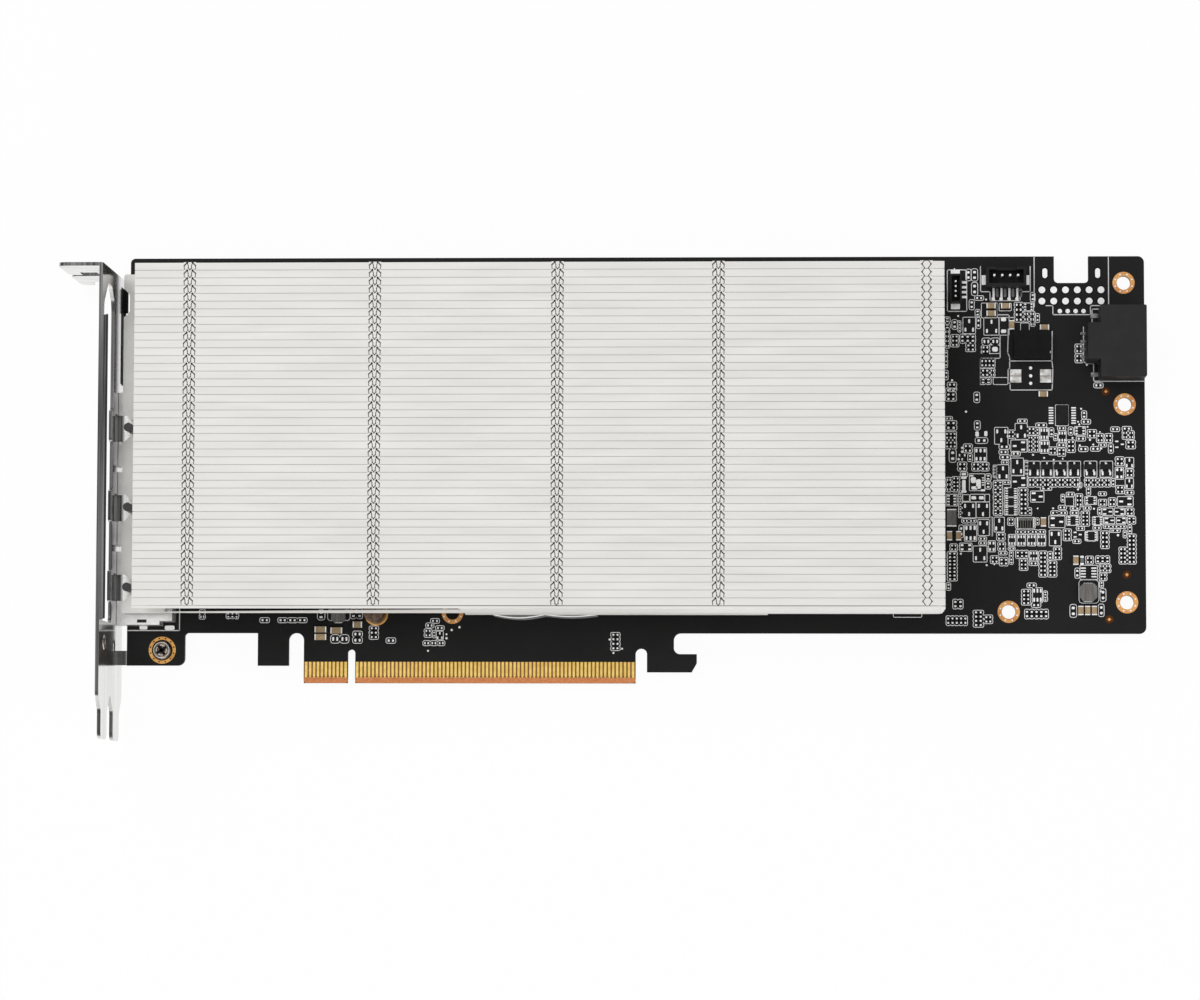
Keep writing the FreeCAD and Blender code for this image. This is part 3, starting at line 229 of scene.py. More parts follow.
def bracket_nickel():
    """Bright streaked nickel on the faces of the sheet; near-black dull grey on its upward-facing
    cut faces near the plate, a painted dark reflection.
    """
    material, tree, shader = new_material("bracket_nickel")
    shader.inputs["Metallic"].default_value = 0.95
    face = ramp(tree, noise(tree, 90.0, stretch=(1, 0.15, 3)),
                [(0.3, (0.5, 0.5, 0.49)), (0.7, (0.8, 0.795, 0.785))])
    # Near-black tones for the upward-facing cut faces: a painted dark reflection of the board, not
    # the metal's own colour
    edge = ramp(tree, noise(tree, 160.0, stretch=(9, 0.12, 1)),
                [(0.36, grey(0.02)), (0.47, grey(0.06)), (0.7, grey(0.13))])
    place = tree.nodes.new("ShaderNodeTexCoord")
    bend = tree.nodes.new("ShaderNodeSeparateXYZ")
    tree.links.new(place.outputs["Object"], bend.inputs["Vector"])
    outside = remap(tree, bend.outputs["X"], at(0.2, 0).x, at(-0.6, 0).x)
    geometry = tree.nodes.new("ShaderNodeNewGeometry")
    facing = tree.nodes.new("ShaderNodeVectorMath")
    facing.operation = "DOT_PRODUCT"
    facing.inputs[1].default_value = (0, 0, 1)
    tree.links.new(geometry.outputs["Normal"], facing.inputs[0])
    # Mask of the painted dark reflection: faces turned up, near the plate
    painted_dark_reflection_mask = combine(tree, "MULTIPLY", remap(tree, facing.outputs["Value"], 0.55, 0.8), outside)
    mix = tree.nodes.new("ShaderNodeMix")
    mix.data_type = "RGBA"
    tree.links.new(painted_dark_reflection_mask, mix.inputs["Factor"])
    tree.links.new(face, mix.inputs["A"])
    tree.links.new(edge, mix.inputs["B"])
    tree.links.new(mix.outputs["Result"], shader.inputs["Base Color"])
    tree.links.new(remap(tree, painted_dark_reflection_mask, 0.0, 1.0, 0.13, 0.34), shader.inputs["Roughness"])
    bump(tree, noise(tree, 400.0, detail=2.0, stretch=(1, 0.15, 3)), shader, 0.04)
    return material


M["bracket"] = bracket_nickel()

NODE_LOOK = {
    "circuit_board": "mask", "mounting_rings": "ring_gold", "edge_contacts_front": "gold",
    "edge_contacts_back": "gold", "bracket": "bracket", "bracket_lug_posts": "black_steel",
    "bracket_foot_screw": "warm_steel", "base_standoff": "bronze", "heatsink_base": "sink_base",
    "heatsink_screws": "steel", "chip_screws": "steel", "fin_stack": "fins",
    "display_socket_shells": "shell", "display_socket_tongues": "black_plastic",
    "power_pins": "gold", "sense_pins": "gold", "power_socket_housing": "black_plastic",
    "power_leads": "dark_steel", "fan_header_housing": "header_plastic", "fan_header_pins": "tin",
    "header_hold_downs": "tin", "status_header_housing": "header_plastic",
    "status_header_pins": "tin", "ceramic_capacitors": "ceramic", "capacitor_ends": "tin",
    "filter_coil": "black_ferrite", "small_coils": "choke", "small_coil_ends": "tin",
    "transistors": "epoxy", "transistor_leads": "tin", "logic_chips": "epoxy",
    "phase_coils": "ferrite", "power_stages": "epoxy", "power_stage_pads": "pad",
    "processor_package": "substrate", "processor_solder_balls": "tin",
    "processor_die": "silicon", "memory_chips": "epoxy", "memory_pads": "pad",
    "edge_thermal_pad": "pad",
}
for node, look in NODE_LOOK.items():
    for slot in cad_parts[node].material_slots:
        slot.material = M[look]


# ------------------------------------------------------------------ small flat pieces
class Layer:
    """Collects many small solids into one object that rides on the card."""

    def __init__(self, name, look, slot):
        self.name = name
        self.look = look
        self.slot = slot
        self.mesh = bmesh.new()

    def prism(self, outline, z0, z1):
        low = [self.mesh.verts.new(at(x, y, z0)) for x, y in outline]
        high = [self.mesh.verts.new(at(x, y, z1)) for x, y in outline]
        self.mesh.faces.new(high)
        self.mesh.faces.new(low[::-1])
        for i in range(len(outline)):
            j = (i + 1) % len(outline)
            self.mesh.faces.new((low[i], low[j], high[j], high[i]))

    def block(self, x0, x1, y0, y1, z0, z1):
        self.prism([(x0, y0), (x1, y0), (x1, y1), (x0, y1)], z0, z1)

    def pad(self, x, y, w, d, z0, z1):
        """Block with cut corners, centred on a point."""
        c = 0.22 * min(w, d)
        w, d = w / 2, d / 2
        self.prism([(x - w + c, y - d), (x + w - c, y - d), (x + w, y - d + c),
                    (x + w, y + d - c), (x + w - c, y + d), (x - w + c, y + d),
                    (x - w, y + d - c), (x - w, y - d + c)], z0, z1)

    def disc(self, x, y, diameter, z0, z1, sides=16):
        self.prism(circle(x, y, diameter, sides), z0, z1)

    def band(self, inner, outer, z0, z1):
        """Flat band between two outlines with as many points."""
        count = len(inner)
        rings = [[self.mesh.verts.new(at(x, y, z)) for x, y in outline]
                 for outline, z in ((inner, z0), (outer, z0), (inner, z1), (outer, z1))]
        in_low, out_low, in_high, out_high = rings
        for i in range(count):
            j = (i + 1) % count
            self.mesh.faces.new((in_high[i], out_high[i], out_high[j], in_high[j]))
            self.mesh.faces.new((out_low[i], out_low[j], out_high[j], out_high[i]))
            self.mesh.faces.new((in_low[j], in_low[i], in_high[i], in_high[j]))
            self.mesh.faces.new((in_low[i], in_low[j], out_low[j], out_low[i]))

    def stroke(self, points, w, z0, z1):
        """Flat straight runs of one width through the points."""
        for start, end in zip(points, points[1:]):
            start, end = Vector(start), Vector(end)
            along = (end - start).normalized() * w / 2
            across = Vector((-along.y, along.x))
            self.prism([tuple(c) for c in (start - along - across, end + along - across,
                                           end + along + across, start - along + across)],
                       z0, z1)

    def ring_of_vias(self, x, y, radius, count):
        """Plated vias evenly spaced round a centre."""
        for step in range(count):
            turn = 2 * math.pi * (step + 0.5) / count
            self.disc(x + radius * math.cos(turn), y + radius * math.sin(turn), VIA_D, 0.0,
                      VIA_T, sides=8)

    def finish(self):
        bmesh.ops.recalc_face_normals(self.mesh, faces=self.mesh.faces)
        data = bpy.data.meshes.new(self.name)
        self.mesh.to_mesh(data)
        self.mesh.free()
        piece = bpy.data.objects.new(self.name, data)
        bpy.context.scene.collection.objects.link(piece)
        data.materials.append(M[self.look])
        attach(piece, "root")
        return piece


def circle(x, y, diameter, sides=16):
    turns = [2 * math.pi * i / sides for i in range(sides)]
    return [(x + diameter / 2 * math.cos(t), y + diameter / 2 * math.sin(t)) for t in turns]


def rounded(x0, x1, y0, y1, r, steps=2):
    points = []
    for cx, cy, start in ((x1 - r, y1 - r, 0), (x0 + r, y1 - r, 1), (x0 + r, y0 + r, 2),
                          (x1 - r, y0 + r, 3)):
        for i in range(steps + 1):
            turn = (start + i / steps) * math.pi / 2
            points.append((cx + r * math.cos(turn), cy + r * math.sin(turn)))
    return points


LINE_W = 0.155
LONG_LINE_W = 0.24
PRINT_Z = (0.0, 0.02)
PAD_Z = (0.0, 0.06)
VIA_D, VIA_T = 0.42, 0.075
# Pads of a two-pad footprint, as shares of its box: off the middle, along it, across it
PAD_OFF, PAD_ALONG, PAD_ACROSS = 0.22, 0.19, 0.44

print_layer = Layer("board_print", "print", "tin")
line_layer = Layer("board_lines", "line", "tin")
clearance_and_hole_shade = Layer("print_clearance_and_shade", "bare_black", "board_mask")
pads = Layer("solder_pads", "solder", "tin")
vias = Layer("copper_marks", "ring_gold", "tin")


def outline(x0, x1, y0, y1, r):
    """Printed box with its line centred on the given sides."""
    h = LINE_W / 2
    r = max(r, h + 0.02)
    print_layer.band(rounded(x0 + h, x1 - h, y0 + h, y1 - h, r - h),
                     rounded(x0 - h, x1 + h, y0 - h, y1 + h, r + h), *PRINT_Z)


def cells(x0, x1, y0, y1, columns, rows):
    """Two-pad footprints side by side, each in its rounded printed box."""
    w, d = (x1 - x0) / columns, (y1 - y0) / rows
    for column in range(columns):
        for row in range(rows):
            left, low = x0 + column * w, y0 + row * d
            outline(left, left + w, low, low + d, 0.3 * min(w, d))
            for side in (-1, 1):
                if w > d:
                    pads.pad(left + w / 2 + side * PAD_OFF * w, low + d / 2, PAD_ALONG * w,
                             PAD_ACROSS * d, *PAD_Z)
                else:
                    pads.pad(left + w / 2, low + d / 2 + side * PAD_OFF * d, PAD_ACROSS * w,
                             PAD_ALONG * d, *PAD_Z)


SIDES = {"N": (0, 1), "S": (0, -1), "E": (1, 0), "W": (-1, 0)}


def three_pads(x0, x1, y0, y1, single, boxed=True):
    """Small transistor footprint: one pad towards the named side, two opposite."""
    if boxed:
        outline(x0, x1, y0, y1, 0.2)
    x, y = (x0 + x1) / 2, (y0 + y1) / 2
    dx, dy = SIDES[single]
    lengthwise = abs(dx * (x1 - x0) + dy * (y1 - y0))
    crosswise = abs(dy * (x1 - x0) + dx * (y1 - y0))
    reach, spread = 0.26 * lengthwise, 0.3 * crosswise
    length = min(1.0, 0.3 * lengthwise)
    thick = 0.46 if length > 0.9 else 0.34
    w, d = (thick, length) if dy else (length, thick)
    pads.pad(x + dx * reach, y + dy * reach, w, d, *PAD_Z)
    for side in (-1, 1):
        pads.pad(x - dx * reach + side * dy * spread, y - dy * reach + side * dx * spread, w, d,
                 *PAD_Z)


def chip_pads(x0, x1, y0, y1, pins, along, length):
    """Rows of leads at two opposite ends of a box: along x at its left and right."""
    outline(x0, x1, y0, y1, 0.15)
    inset = 0.25 + length / 2
    for i in range(pins):
        share = (i + 0.5) / pins
        if along == "x":
            y = y0 + share * (y1 - y0)
            thick = 0.5 * (y1 - y0) / pins
            for x in (x0 + inset, x1 - inset):
                pads.pad(x, y, length, thick, *PAD_Z)
        else:
            x = x0 + share * (x1 - x0)
            thick = 0.5 * (x1 - x0) / pins
            for y in (y0 + inset, y1 - inset):
                pads.pad(x, y, thick, length, *PAD_Z)


# Printed two-pad footprints: low X, high X, low Y, high Y, columns, rows
UPPER_CELLS = (
    (213.3, 214.6, 102.4, 105.4, 1, 1), (214.7, 216.3, 102.3, 105.5, 1, 1),
    (214.7, 216.3, 98.6, 102.0, 1, 1), (215.5, 217.8, 97.4, 98.6, 1, 1),
    (214.1, 215.4, 95.0, 97.6, 1, 1), (215.6, 216.9, 93.2, 95.1, 1, 1),
    (215.9, 217.0, 90.2, 93.0, 1, 1), (229.6, 230.8, 97.0, 99.4, 1, 1),
    (225.5, 227.8, 91.8, 96.9, 1, 4), (227.8, 230.8, 91.8, 94.6, 2, 2),
    (230.9, 231.9, 91.7, 94.0, 1, 1), (229.6, 230.8, 90.7, 91.8, 1, 1),
    (207.8, 209.3, 90.0, 93.2, 1, 2), (209.7, 211.1, 90.0, 92.5, 1, 1),
    (211.2, 212.0, 89.3, 92.2, 1, 2), (207.8, 209.2, 85.2, 90.0, 1, 4),
    (209.4, 211.5, 85.5, 88.7, 1, 3), (211.7, 215.7, 86.4, 88.8, 3, 1),
    (213.2, 215.7, 84.3, 86.4, 1, 2), (217.3, 221.8, 86.0, 87.8, 2, 1),
    (217.1, 219.3, 83.8, 85.9, 1, 2), (240.8, 242.9, 83.8, 86.2, 1, 2),
    (240.8, 242.9, 81.4, 83.7, 1, 2), (245.5, 247.9, 75.0, 76.3, 1, 1),
)
MIDDLE_CELLS = (
    (208.0, 210.8, 71.7, 75.0, 1, 3), (215.2, 216.7, 71.3, 74.0, 1, 1),
    (207.9, 209.8, 66.8, 67.8, 1, 1), (207.9, 210.9, 64.3, 66.7, 1, 2),
    (215.3, 216.8, 64.3, 66.7, 1, 1), (207.9, 210.8, 59.5, 64.0, 3, 2),
    (215.5, 218.7, 60.9, 62.4, 1, 1), (212.5, 214.8, 58.5, 60.8, 1, 2),
    (208.9, 210.7, 56.1, 59.5, 1, 1), (213.6, 214.8, 56.3, 58.3, 1, 1),
    (211.0, 213.4, 53.9, 56.2, 1, 2), (214.6, 219.0, 53.9, 56.1, 2, 2),
    (208.0, 209.6, 48.6, 52.3, 1, 3), (209.6, 211.6, 48.6, 52.5, 1, 4),
    (218.0, 219.5, 51.4, 53.2, 1, 1), (218.0, 219.5, 49.3, 51.3, 1, 1),
    (223.6, 225.6, 62.2, 64.3, 1, 2), (226.2, 228.7, 66.1, 67.1, 1, 1),
    (228.7, 230.8, 63.0, 65.1, 1, 2), (228.7, 231.7, 58.7, 62.9, 2, 4),
    (230.8, 233.6, 65.0, 66.1, 1, 1), (230.8, 231.7, 63.0, 64.9, 1, 1),
    (221.5, 224.2, 59.4, 60.7, 1, 1), (221.5, 223.8, 58.1, 59.3, 1, 1),
    (221.7, 224.4, 56.8, 58.0, 1, 1), (224.6, 226.9, 57.7, 58.9, 1, 1),
    (222.1, 224.0, 55.6, 56.6, 1, 1), (220.0, 221.0, 52.2, 55.4, 1, 4),
    (227.8, 228.8, 52.7, 56.6, 1, 4), (228.8, 241.9, 49.8, 52.2, 7, 2),
    (220.0, 222.4, 42.6, 51.5, 2, 5), (222.5, 224.3, 50.5, 51.5, 1, 1),
    (226.5, 228.8, 42.6, 49.6, 1, 6), (228.8, 229.7, 42.6, 44.6, 1, 1),
    (231.9, 234.8, 49.0, 49.8, 1, 1), (242.4, 243.7, 67.1, 69.2, 1, 1),
    (242.3, 244.7, 65.8, 67.0, 1, 1), (249.7, 252.0, 63.9, 65.1, 1, 1),
    (252.6, 255.0, 64.1, 65.2, 1, 1), (252.6, 255.7, 61.9, 64.1, 2, 2),
    (253.5, 256.0, 59.5, 61.7, 1, 2), (234.2, 235.4, 62.6, 64.9, 1, 1),
    (235.3, 236.3, 61.6, 63.4, 1, 1), (236.3, 238.4, 64.2, 65.3, 1, 1),
    (236.1, 238.4, 59.9, 61.0, 1, 1), (239.0, 240.3, 63.0, 65.1, 1, 1),
    (241.0, 243.4, 61.5, 62.7, 1, 1), (243.8, 246.2, 62.3, 64.4, 1, 2),
    (246.1, 248.0, 61.1, 63.4, 1, 2), (248.2, 250.2, 61.1, 63.4, 1, 2),
    (246.7, 248.7, 60.0, 61.0, 1, 1), (249.1, 250.4, 58.4, 60.8, 1, 1),
    (238.6, 240.8, 58.6, 61.8, 1, 3), (234.1, 236.2, 58.0, 60.0, 1, 2),
    (236.3, 238.3, 57.6, 59.8, 2, 1), (241.6, 244.0, 58.8, 60.1, 1, 1),
    (244.6, 247.1, 58.9, 60.1, 1, 1), (243.0, 249.7, 49.8, 52.1, 4, 2),
    (249.8, 250.8, 49.9, 52.0, 1, 1), (243.5, 244.6, 47.7, 49.9, 1, 1),
    (241.3, 242.4, 49.6, 51.0, 1, 1), (250.8, 253.1, 55.2, 57.5, 1, 2),
    (253.3, 255.5, 52.3, 54.4, 1, 2), (250.9, 253.1, 48.1, 50.2, 1, 2),
    (253.2, 255.5, 47.8, 49.0, 1, 1),
)
LOWER_CELLS = (
    (211.2, 212.2, 42.0, 48.4, 1, 5), (212.0, 215.7, 40.7, 41.8, 2, 1),
    (211.3, 212.5, 37.0, 40.2, 1, 1), (209.0, 211.0, 33.6, 35.4, 1, 2),
    (216.3, 218.3, 36.2, 37.2, 1, 1), (216.3, 218.3, 35.1, 36.1, 1, 1),
    (223.6, 225.3, 40.1, 42.0, 1, 2), (230.7, 231.6, 40.2, 42.0, 1, 1),
    (225.6, 233.2, 37.9, 39.0, 4, 1), (220.8, 223.0, 36.3, 38.2, 1, 2),
    (221.1, 223.1, 33.6, 35.9, 1, 2), (221.3, 223.5, 32.6, 33.5, 1, 1),
    (219.2, 221.4, 30.4, 32.4, 1, 2), (221.5, 223.7, 29.8, 32.0, 2, 1),
    (224.0, 225.0, 30.2, 33.6, 1, 2), (223.7, 225.5, 33.8, 34.6, 1, 1),
    (225.6, 228.8, 31.7, 33.8, 3, 1), (226.5, 228.7, 28.7, 31.6, 1, 3),
    (229.0, 231.2, 29.9, 31.0, 1, 1), (231.4, 233.6, 27.0, 33.6, 1, 6),
    (208.3, 210.9, 26.0, 33.4, 1, 8), (208.1, 209.2, 23.6, 25.6, 1, 1),
    (209.7, 212.3, 18.9, 21.4, 2, 1), (208.0, 213.4, 14.7, 17.2, 5, 1),
    (214.8, 217.5, 14.3, 18.6, 1, 4), (217.5, 219.8, 15.2, 17.4, 1, 2),
    (227.0, 229.4, 19.9, 23.9, 1, 4), (228.4, 230.8, 24.3, 25.5, 1, 1),
    (229.5, 231.9, 19.3, 20.5, 1, 1), (232.5, 233.6, 20.8, 23.5, 1, 2),
    (227.8, 233.8, 16.4, 18.9, 5, 1), (237.1, 238.0, 46.0, 48.0, 1, 1),
    (238.4, 240.5, 47.4, 48.5, 1, 1), (240.7, 242.6, 44.8, 48.1, 1, 3),
    (246.5, 248.6, 47.6, 48.6, 1, 1), (246.5, 248.6, 45.0, 46.7, 1, 2),
    (249.0, 251.0, 44.9, 47.1, 1, 2), (236.4, 238.5, 44.1, 45.2, 1, 1),
    (234.5, 238.7, 42.7, 43.8, 2, 1), (239.4, 241.6, 42.7, 43.8, 1, 1),
    (239.4, 241.9, 44.0, 44.8, 1, 1), (242.7, 244.7, 44.0, 45.0, 1, 1),
    (242.1, 244.3, 39.9, 43.7, 1, 4), (246.3, 247.3, 42.7, 44.6, 1, 1),
    (253.3, 255.5, 42.6, 44.5, 1, 2), (253.8, 255.9, 40.4, 42.4, 2, 1),
    (240.9, 243.0, 38.8, 39.8, 1, 1), (245.1, 247.2, 38.9, 40.0, 1, 1),
    (247.7, 253.5, 39.3, 40.2, 3, 1), (249.4, 252.0, 38.3, 39.2, 1, 1),
    (253.9, 254.9, 38.0, 40.2, 1, 1), (252.7, 253.6, 36.9, 38.9, 1, 1),
    (237.6, 239.7, 36.2, 39.2, 1, 3), (240.0, 242.1, 35.5, 36.6, 1, 1),
    (247.0, 249.2, 34.2, 38.7, 1, 4), (253.7, 256.0, 30.3, 37.9, 1, 7),
    (251.6, 253.7, 30.3, 34.6, 1, 4), (233.7, 234.9, 31.3, 33.5, 1, 1),
    (235.1, 237.2, 31.4, 34.6, 1, 3), (233.7, 236.0, 27.0, 31.1, 1, 4),
    (243.2, 245.2, 30.3, 32.3, 1, 2), (245.7, 249.3, 30.4, 32.4, 3, 1),
    (246.6, 249.6, 28.1, 30.3, 2, 2), (246.6, 248.6, 26.1, 28.0, 1, 2),
    (246.7, 247.7, 24.3, 26.0, 1, 1), (246.8, 248.3, 20.8, 24.1, 1, 1),
    (239.2, 240.9, 16.8, 20.1, 1, 1), (246.4, 247.8, 17.0, 20.2, 1, 1),
    (240.5, 241.7, 26.7, 29.3, 1, 1),
)
LOW_EDGE_CELLS = (
    (18.4, 20.0, 16.2, 18.6, 1, 2), (33.9, 36.4, 15.3, 16.6, 1, 1),
    (38.5, 46.0, 15.3, 16.6, 3, 1), (48.6, 50.5, 16.0, 18.6, 1, 1),
    (57.0, 60.1, 16.3, 18.9, 2, 1), (52.0, 56.7, 10.1, 12.3, 2, 1),
    (57.6, 60.1, 10.1, 13.2, 1, 2), (61.8, 64.2, 11.1, 14.5, 1, 3),
    (66.1, 68.6, 10.1, 11.5, 1, 1), (77.4, 79.7, 15.2, 16.4, 1, 1),
    (76.2, 78.3, 14.0, 15.3, 1, 1), (78.7, 80.9, 13.4, 14.6, 1, 1),
    (75.8, 77.8, 11.6, 13.8, 1, 2), (77.9, 78.8, 11.5, 13.4, 1, 1),
    (75.5, 81.1, 9.5, 10.8, 3, 1),
    (123.2, 125.6, 8.3, 12.9, 1, 4),
)
for table in (UPPER_CELLS, MIDDLE_CELLS, LOWER_CELLS, LOW_EDGE_CELLS):
    for row in table:
        cells(*row)

# Small transistor footprints: low X, high X, low Y, high Y, side of the single pad
TRANSISTOR_PADS = (
    (212.5, 215.7, 88.9, 93.1, "N"), (217.8, 221.7, 88.5, 93.0, "N"),
    (220.4, 223.8, 60.7, 65.0, "S"), (225.6, 228.7, 61.9, 66.0, "N"),
    (224.5, 228.6, 58.7, 61.8, "W"), (221.0, 224.0, 51.6, 55.5, "N"),
    (224.5, 227.7, 52.8, 57.2, "N"), (224.5, 228.6, 49.7, 52.7, "W"),
    (212.2, 215.6, 42.0, 46.0, "S"), (215.7, 219.1, 42.0, 46.0, "S"),
    (216.1, 219.0, 37.5, 41.6, "S"), (214.9, 218.4, 30.8, 34.9, "N"),
    (220.2, 222.8, 38.4, 42.2, "N"), (229.4, 232.8, 46.0, 48.8, "E"),
    (253.3, 255.5, 54.6, 57.3, "N"), (253.3, 255.4, 49.4, 52.0, "N"),
    (251.3, 255.3, 44.9, 47.4, "W"), (234.0, 238.1, 39.5, 42.5, "E"),
    (234.1, 237.1, 34.9, 38.9, "S"), (247.4, 250.2, 42.6, 44.5, "E"),
    (250.5, 253.1, 42.6, 44.5, "W"), (247.9, 250.6, 40.5, 42.2, "E"),
    (251.0, 253.5, 40.5, 42.2, "W"),
)
for row in TRANSISTOR_PADS + ((78.9, 80.7, 11.0, 13.2, "N"),):
    three_pads(*row)
for x in (230.3, 233.6, 237.1, 240.5, 244.6, 248.6):
    three_pads(x - 1.6, x + 1.6, 52.3, 56.4, "N")
for row in ((211.1, 213.3, 56.4, 58.4, "S"), (250.6, 253.3, 59.4, 61.9, "E"),
            (240.0, 242.5, 36.8, 38.7, "E")):
    three_pads(*row, boxed=False)

# Chip footprints: low X, high X, low Y, high Y, leads an end, direction, lead length
CHIP_PADS = (
    (227.8, 230.4, 94.7, 96.7, 3, "x", 0.5), (215.3, 218.4, 56.3, 59.8, 3, "y", 0.9),
    (231.9, 234.0, 61.8, 64.9, 3, "y", 0.8), (231.9, 234.2, 58.4, 61.6, 3, "y", 0.8),
    (236.5, 238.5, 61.1, 64.1, 3, "y", 0.7), (240.6, 243.4, 63.0, 65.2, 3, "x", 0.55),
    (222.8, 226.2, 47.3, 49.7, 4, "x", 0.7), (222.8, 226.2, 45.0, 47.2, 4, "x", 0.7),
    (222.8, 226.2, 42.7, 44.9, 4, "x", 0.7), (212.7, 215.8, 36.1, 40.2, 3, "y", 1.0),
    (211.5, 214.6, 33.5, 35.6, 2, "x", 0.7), (218.7, 220.5, 33.4, 36.2, 2, "y", 0.7),
    (223.8, 225.6, 34.9, 37.8, 3, "y", 0.7), (226.0, 228.1, 34.9, 37.8, 3, "y", 0.7),
    (228.6, 230.7, 34.9, 37.8, 3, "y", 0.7), (231.1, 233.2, 34.9, 37.8, 3, "y", 0.7),
    (229.1, 231.2, 31.1, 33.6, 3, "y", 0.6), (229.8, 232.3, 20.5, 24.3, 3, "y", 1.0),
    (243.1, 246.1, 45.4, 47.4, 3, "x", 0.55), (245.0, 247.7, 40.2, 42.3, 4, "x", 0.6),
    (238.5, 241.7, 40.1, 42.5, 4, "x", 0.7), (243.1, 246.3, 36.2, 38.6, 4, "x", 0.5),
    (250.8, 252.9, 51.8, 54.8, 2, "y", 0.7), (208.1, 210.9, 45.0, 48.0, 4, "x", 0.7),
)
for row in CHIP_PADS:
    chip_pads(*row)

# Further cells of the exposed end, between the coil and the heatsink
for row in ((216.9, 220.6, 80.1, 82.6, 4, 1), (216.9, 219.3, 77.8, 80.0, 1, 2),
            (219.3, 220.6, 77.8, 80.0, 1, 2), (216.9, 219.6, 75.9, 77.7, 2, 1),
            (208.5, 210.9, 74.1, 76.5, 1, 2), (207.8, 208.7, 77.1, 79.6, 1, 1),
            (207.8, 208.6, 80.2, 84.7, 1, 2)):
    cells(*row)

# Flat-lead chip footprint with its leads outside the box
outline(235.8, 239.1, 65.4, 70.7, 0.15)
for step in range(7):
    for x in (234.7, 240.4):
        pads.pad(x, 66.05 + 0.65 * step, 1.2, 0.34, *PAD_Z)

# Eight-lead chip beside the lowest coil
for step in range(4):
    for x in (242.6, 245.3):
        pads.pad(x, 27.1 + 0.72 * step, 1.3, 0.34, *PAD_Z)
outline(241.8, 246.2, 26.4, 30.0, 0.15)
outline(241.5, 246.5, 20.4, 26.3, 0.8)

# Larger printed boxes: low X, high X, low Y, high Y, corner
BOXES = (
    (217.2, 221.2, 92.9, 96.7, 0.2),
    (221.7, 224.8, 94.7, 96.6, 0.2), (221.6, 224.2, 88.5, 93.0, 0.2),
    (227.1, 229.3, 89.7, 91.6, 0.2), (217.2, 221.8, 83.8, 86.0, 0.3),
    (220.1, 223.8, 75.9, 77.7, 0.3), (212.3, 214.0, 46.2, 47.9, 0.15),
    (214.2, 217.8, 46.1, 48.0, 0.2), (217.9, 219.1, 46.1, 48.0, 0.15),
    (211.7, 213.6, 52.5, 53.7, 0.3), (214.0, 217.9, 48.9, 53.2, 0.15),
    (238.1, 240.3, 45.0, 47.3, 0.2), (225.6, 230.6, 39.3, 42.1, 0.3),
    (243.3, 246.0, 36.1, 38.7, 0.3), (51.2, 56.9, 15.9, 18.7, 0.6),
    (194.7, 201.9, 16.8, 18.0, 0.3),
)
for row in BOXES:
    outline(*row)

# Printed lines
LINES = (
    ((230.6, 108.4), (230.6, 95.7)), ((249.4, 108.4), (249.4, 96.5)),
    ((217.0, 106.0), (217.0, 99.6), (219.4, 99.6), (219.4, 97.3), (221.2, 97.3)),
    ((229.6, 106.0), (229.6, 99.6), (227.0, 99.6), (227.0, 97.3), (221.2, 97.3)),
    ((221.2, 96.7), (221.2, 93.7), (224.2, 93.7), (224.2, 93.0), (225.8, 93.0)),
    ((221.9, 88.5), (221.9, 82.6), (216.9, 82.6), (216.9, 75.9)),
    ((233.6, 96.0), (235.3, 96.0), (235.3, 93.7), (244.8, 93.7), (244.8, 96.0), (247.2, 96.0)),
    ((245.2, 91.9), (245.2, 95.1), (247.1, 95.1)),
    ((243.0, 90.5), (243.0, 81.7), (243.8, 81.2), (245.5, 81.2), (245.5, 76.7), (258.2, 76.7)),
    ((224.0, 90.0), (223.8, 84.0), (224.3, 82.9), (224.3, 80.1), (223.9, 79.7), (223.9, 76.5),
     (224.4, 76.0), (224.4, 74.5), (235.0, 74.5), (235.1, 76.2), (235.2, 80.0), (235.0, 82.0),
     (235.1, 89.4)),
    ((224.3, 81.9), (235.0, 81.9)),
    ((219.6, 42.0), (219.6, 37.5)),
    ((208.6, 94.6), (213.5, 94.6), (213.5, 105.2), (208.6, 105.2), (208.6, 94.6)),
    ((0.2, 13.3), (13.4, 13.3), (13.4, 18.9)), ((163.4, 18.6), (195.0, 18.6)),
)
for route in LINES:
    line_layer.stroke(route, LONG_LINE_W, *PRINT_Z)
line_layer.stroke(((219.65, 42.0), (219.65, 37.6)), 0.5, *PRINT_Z)

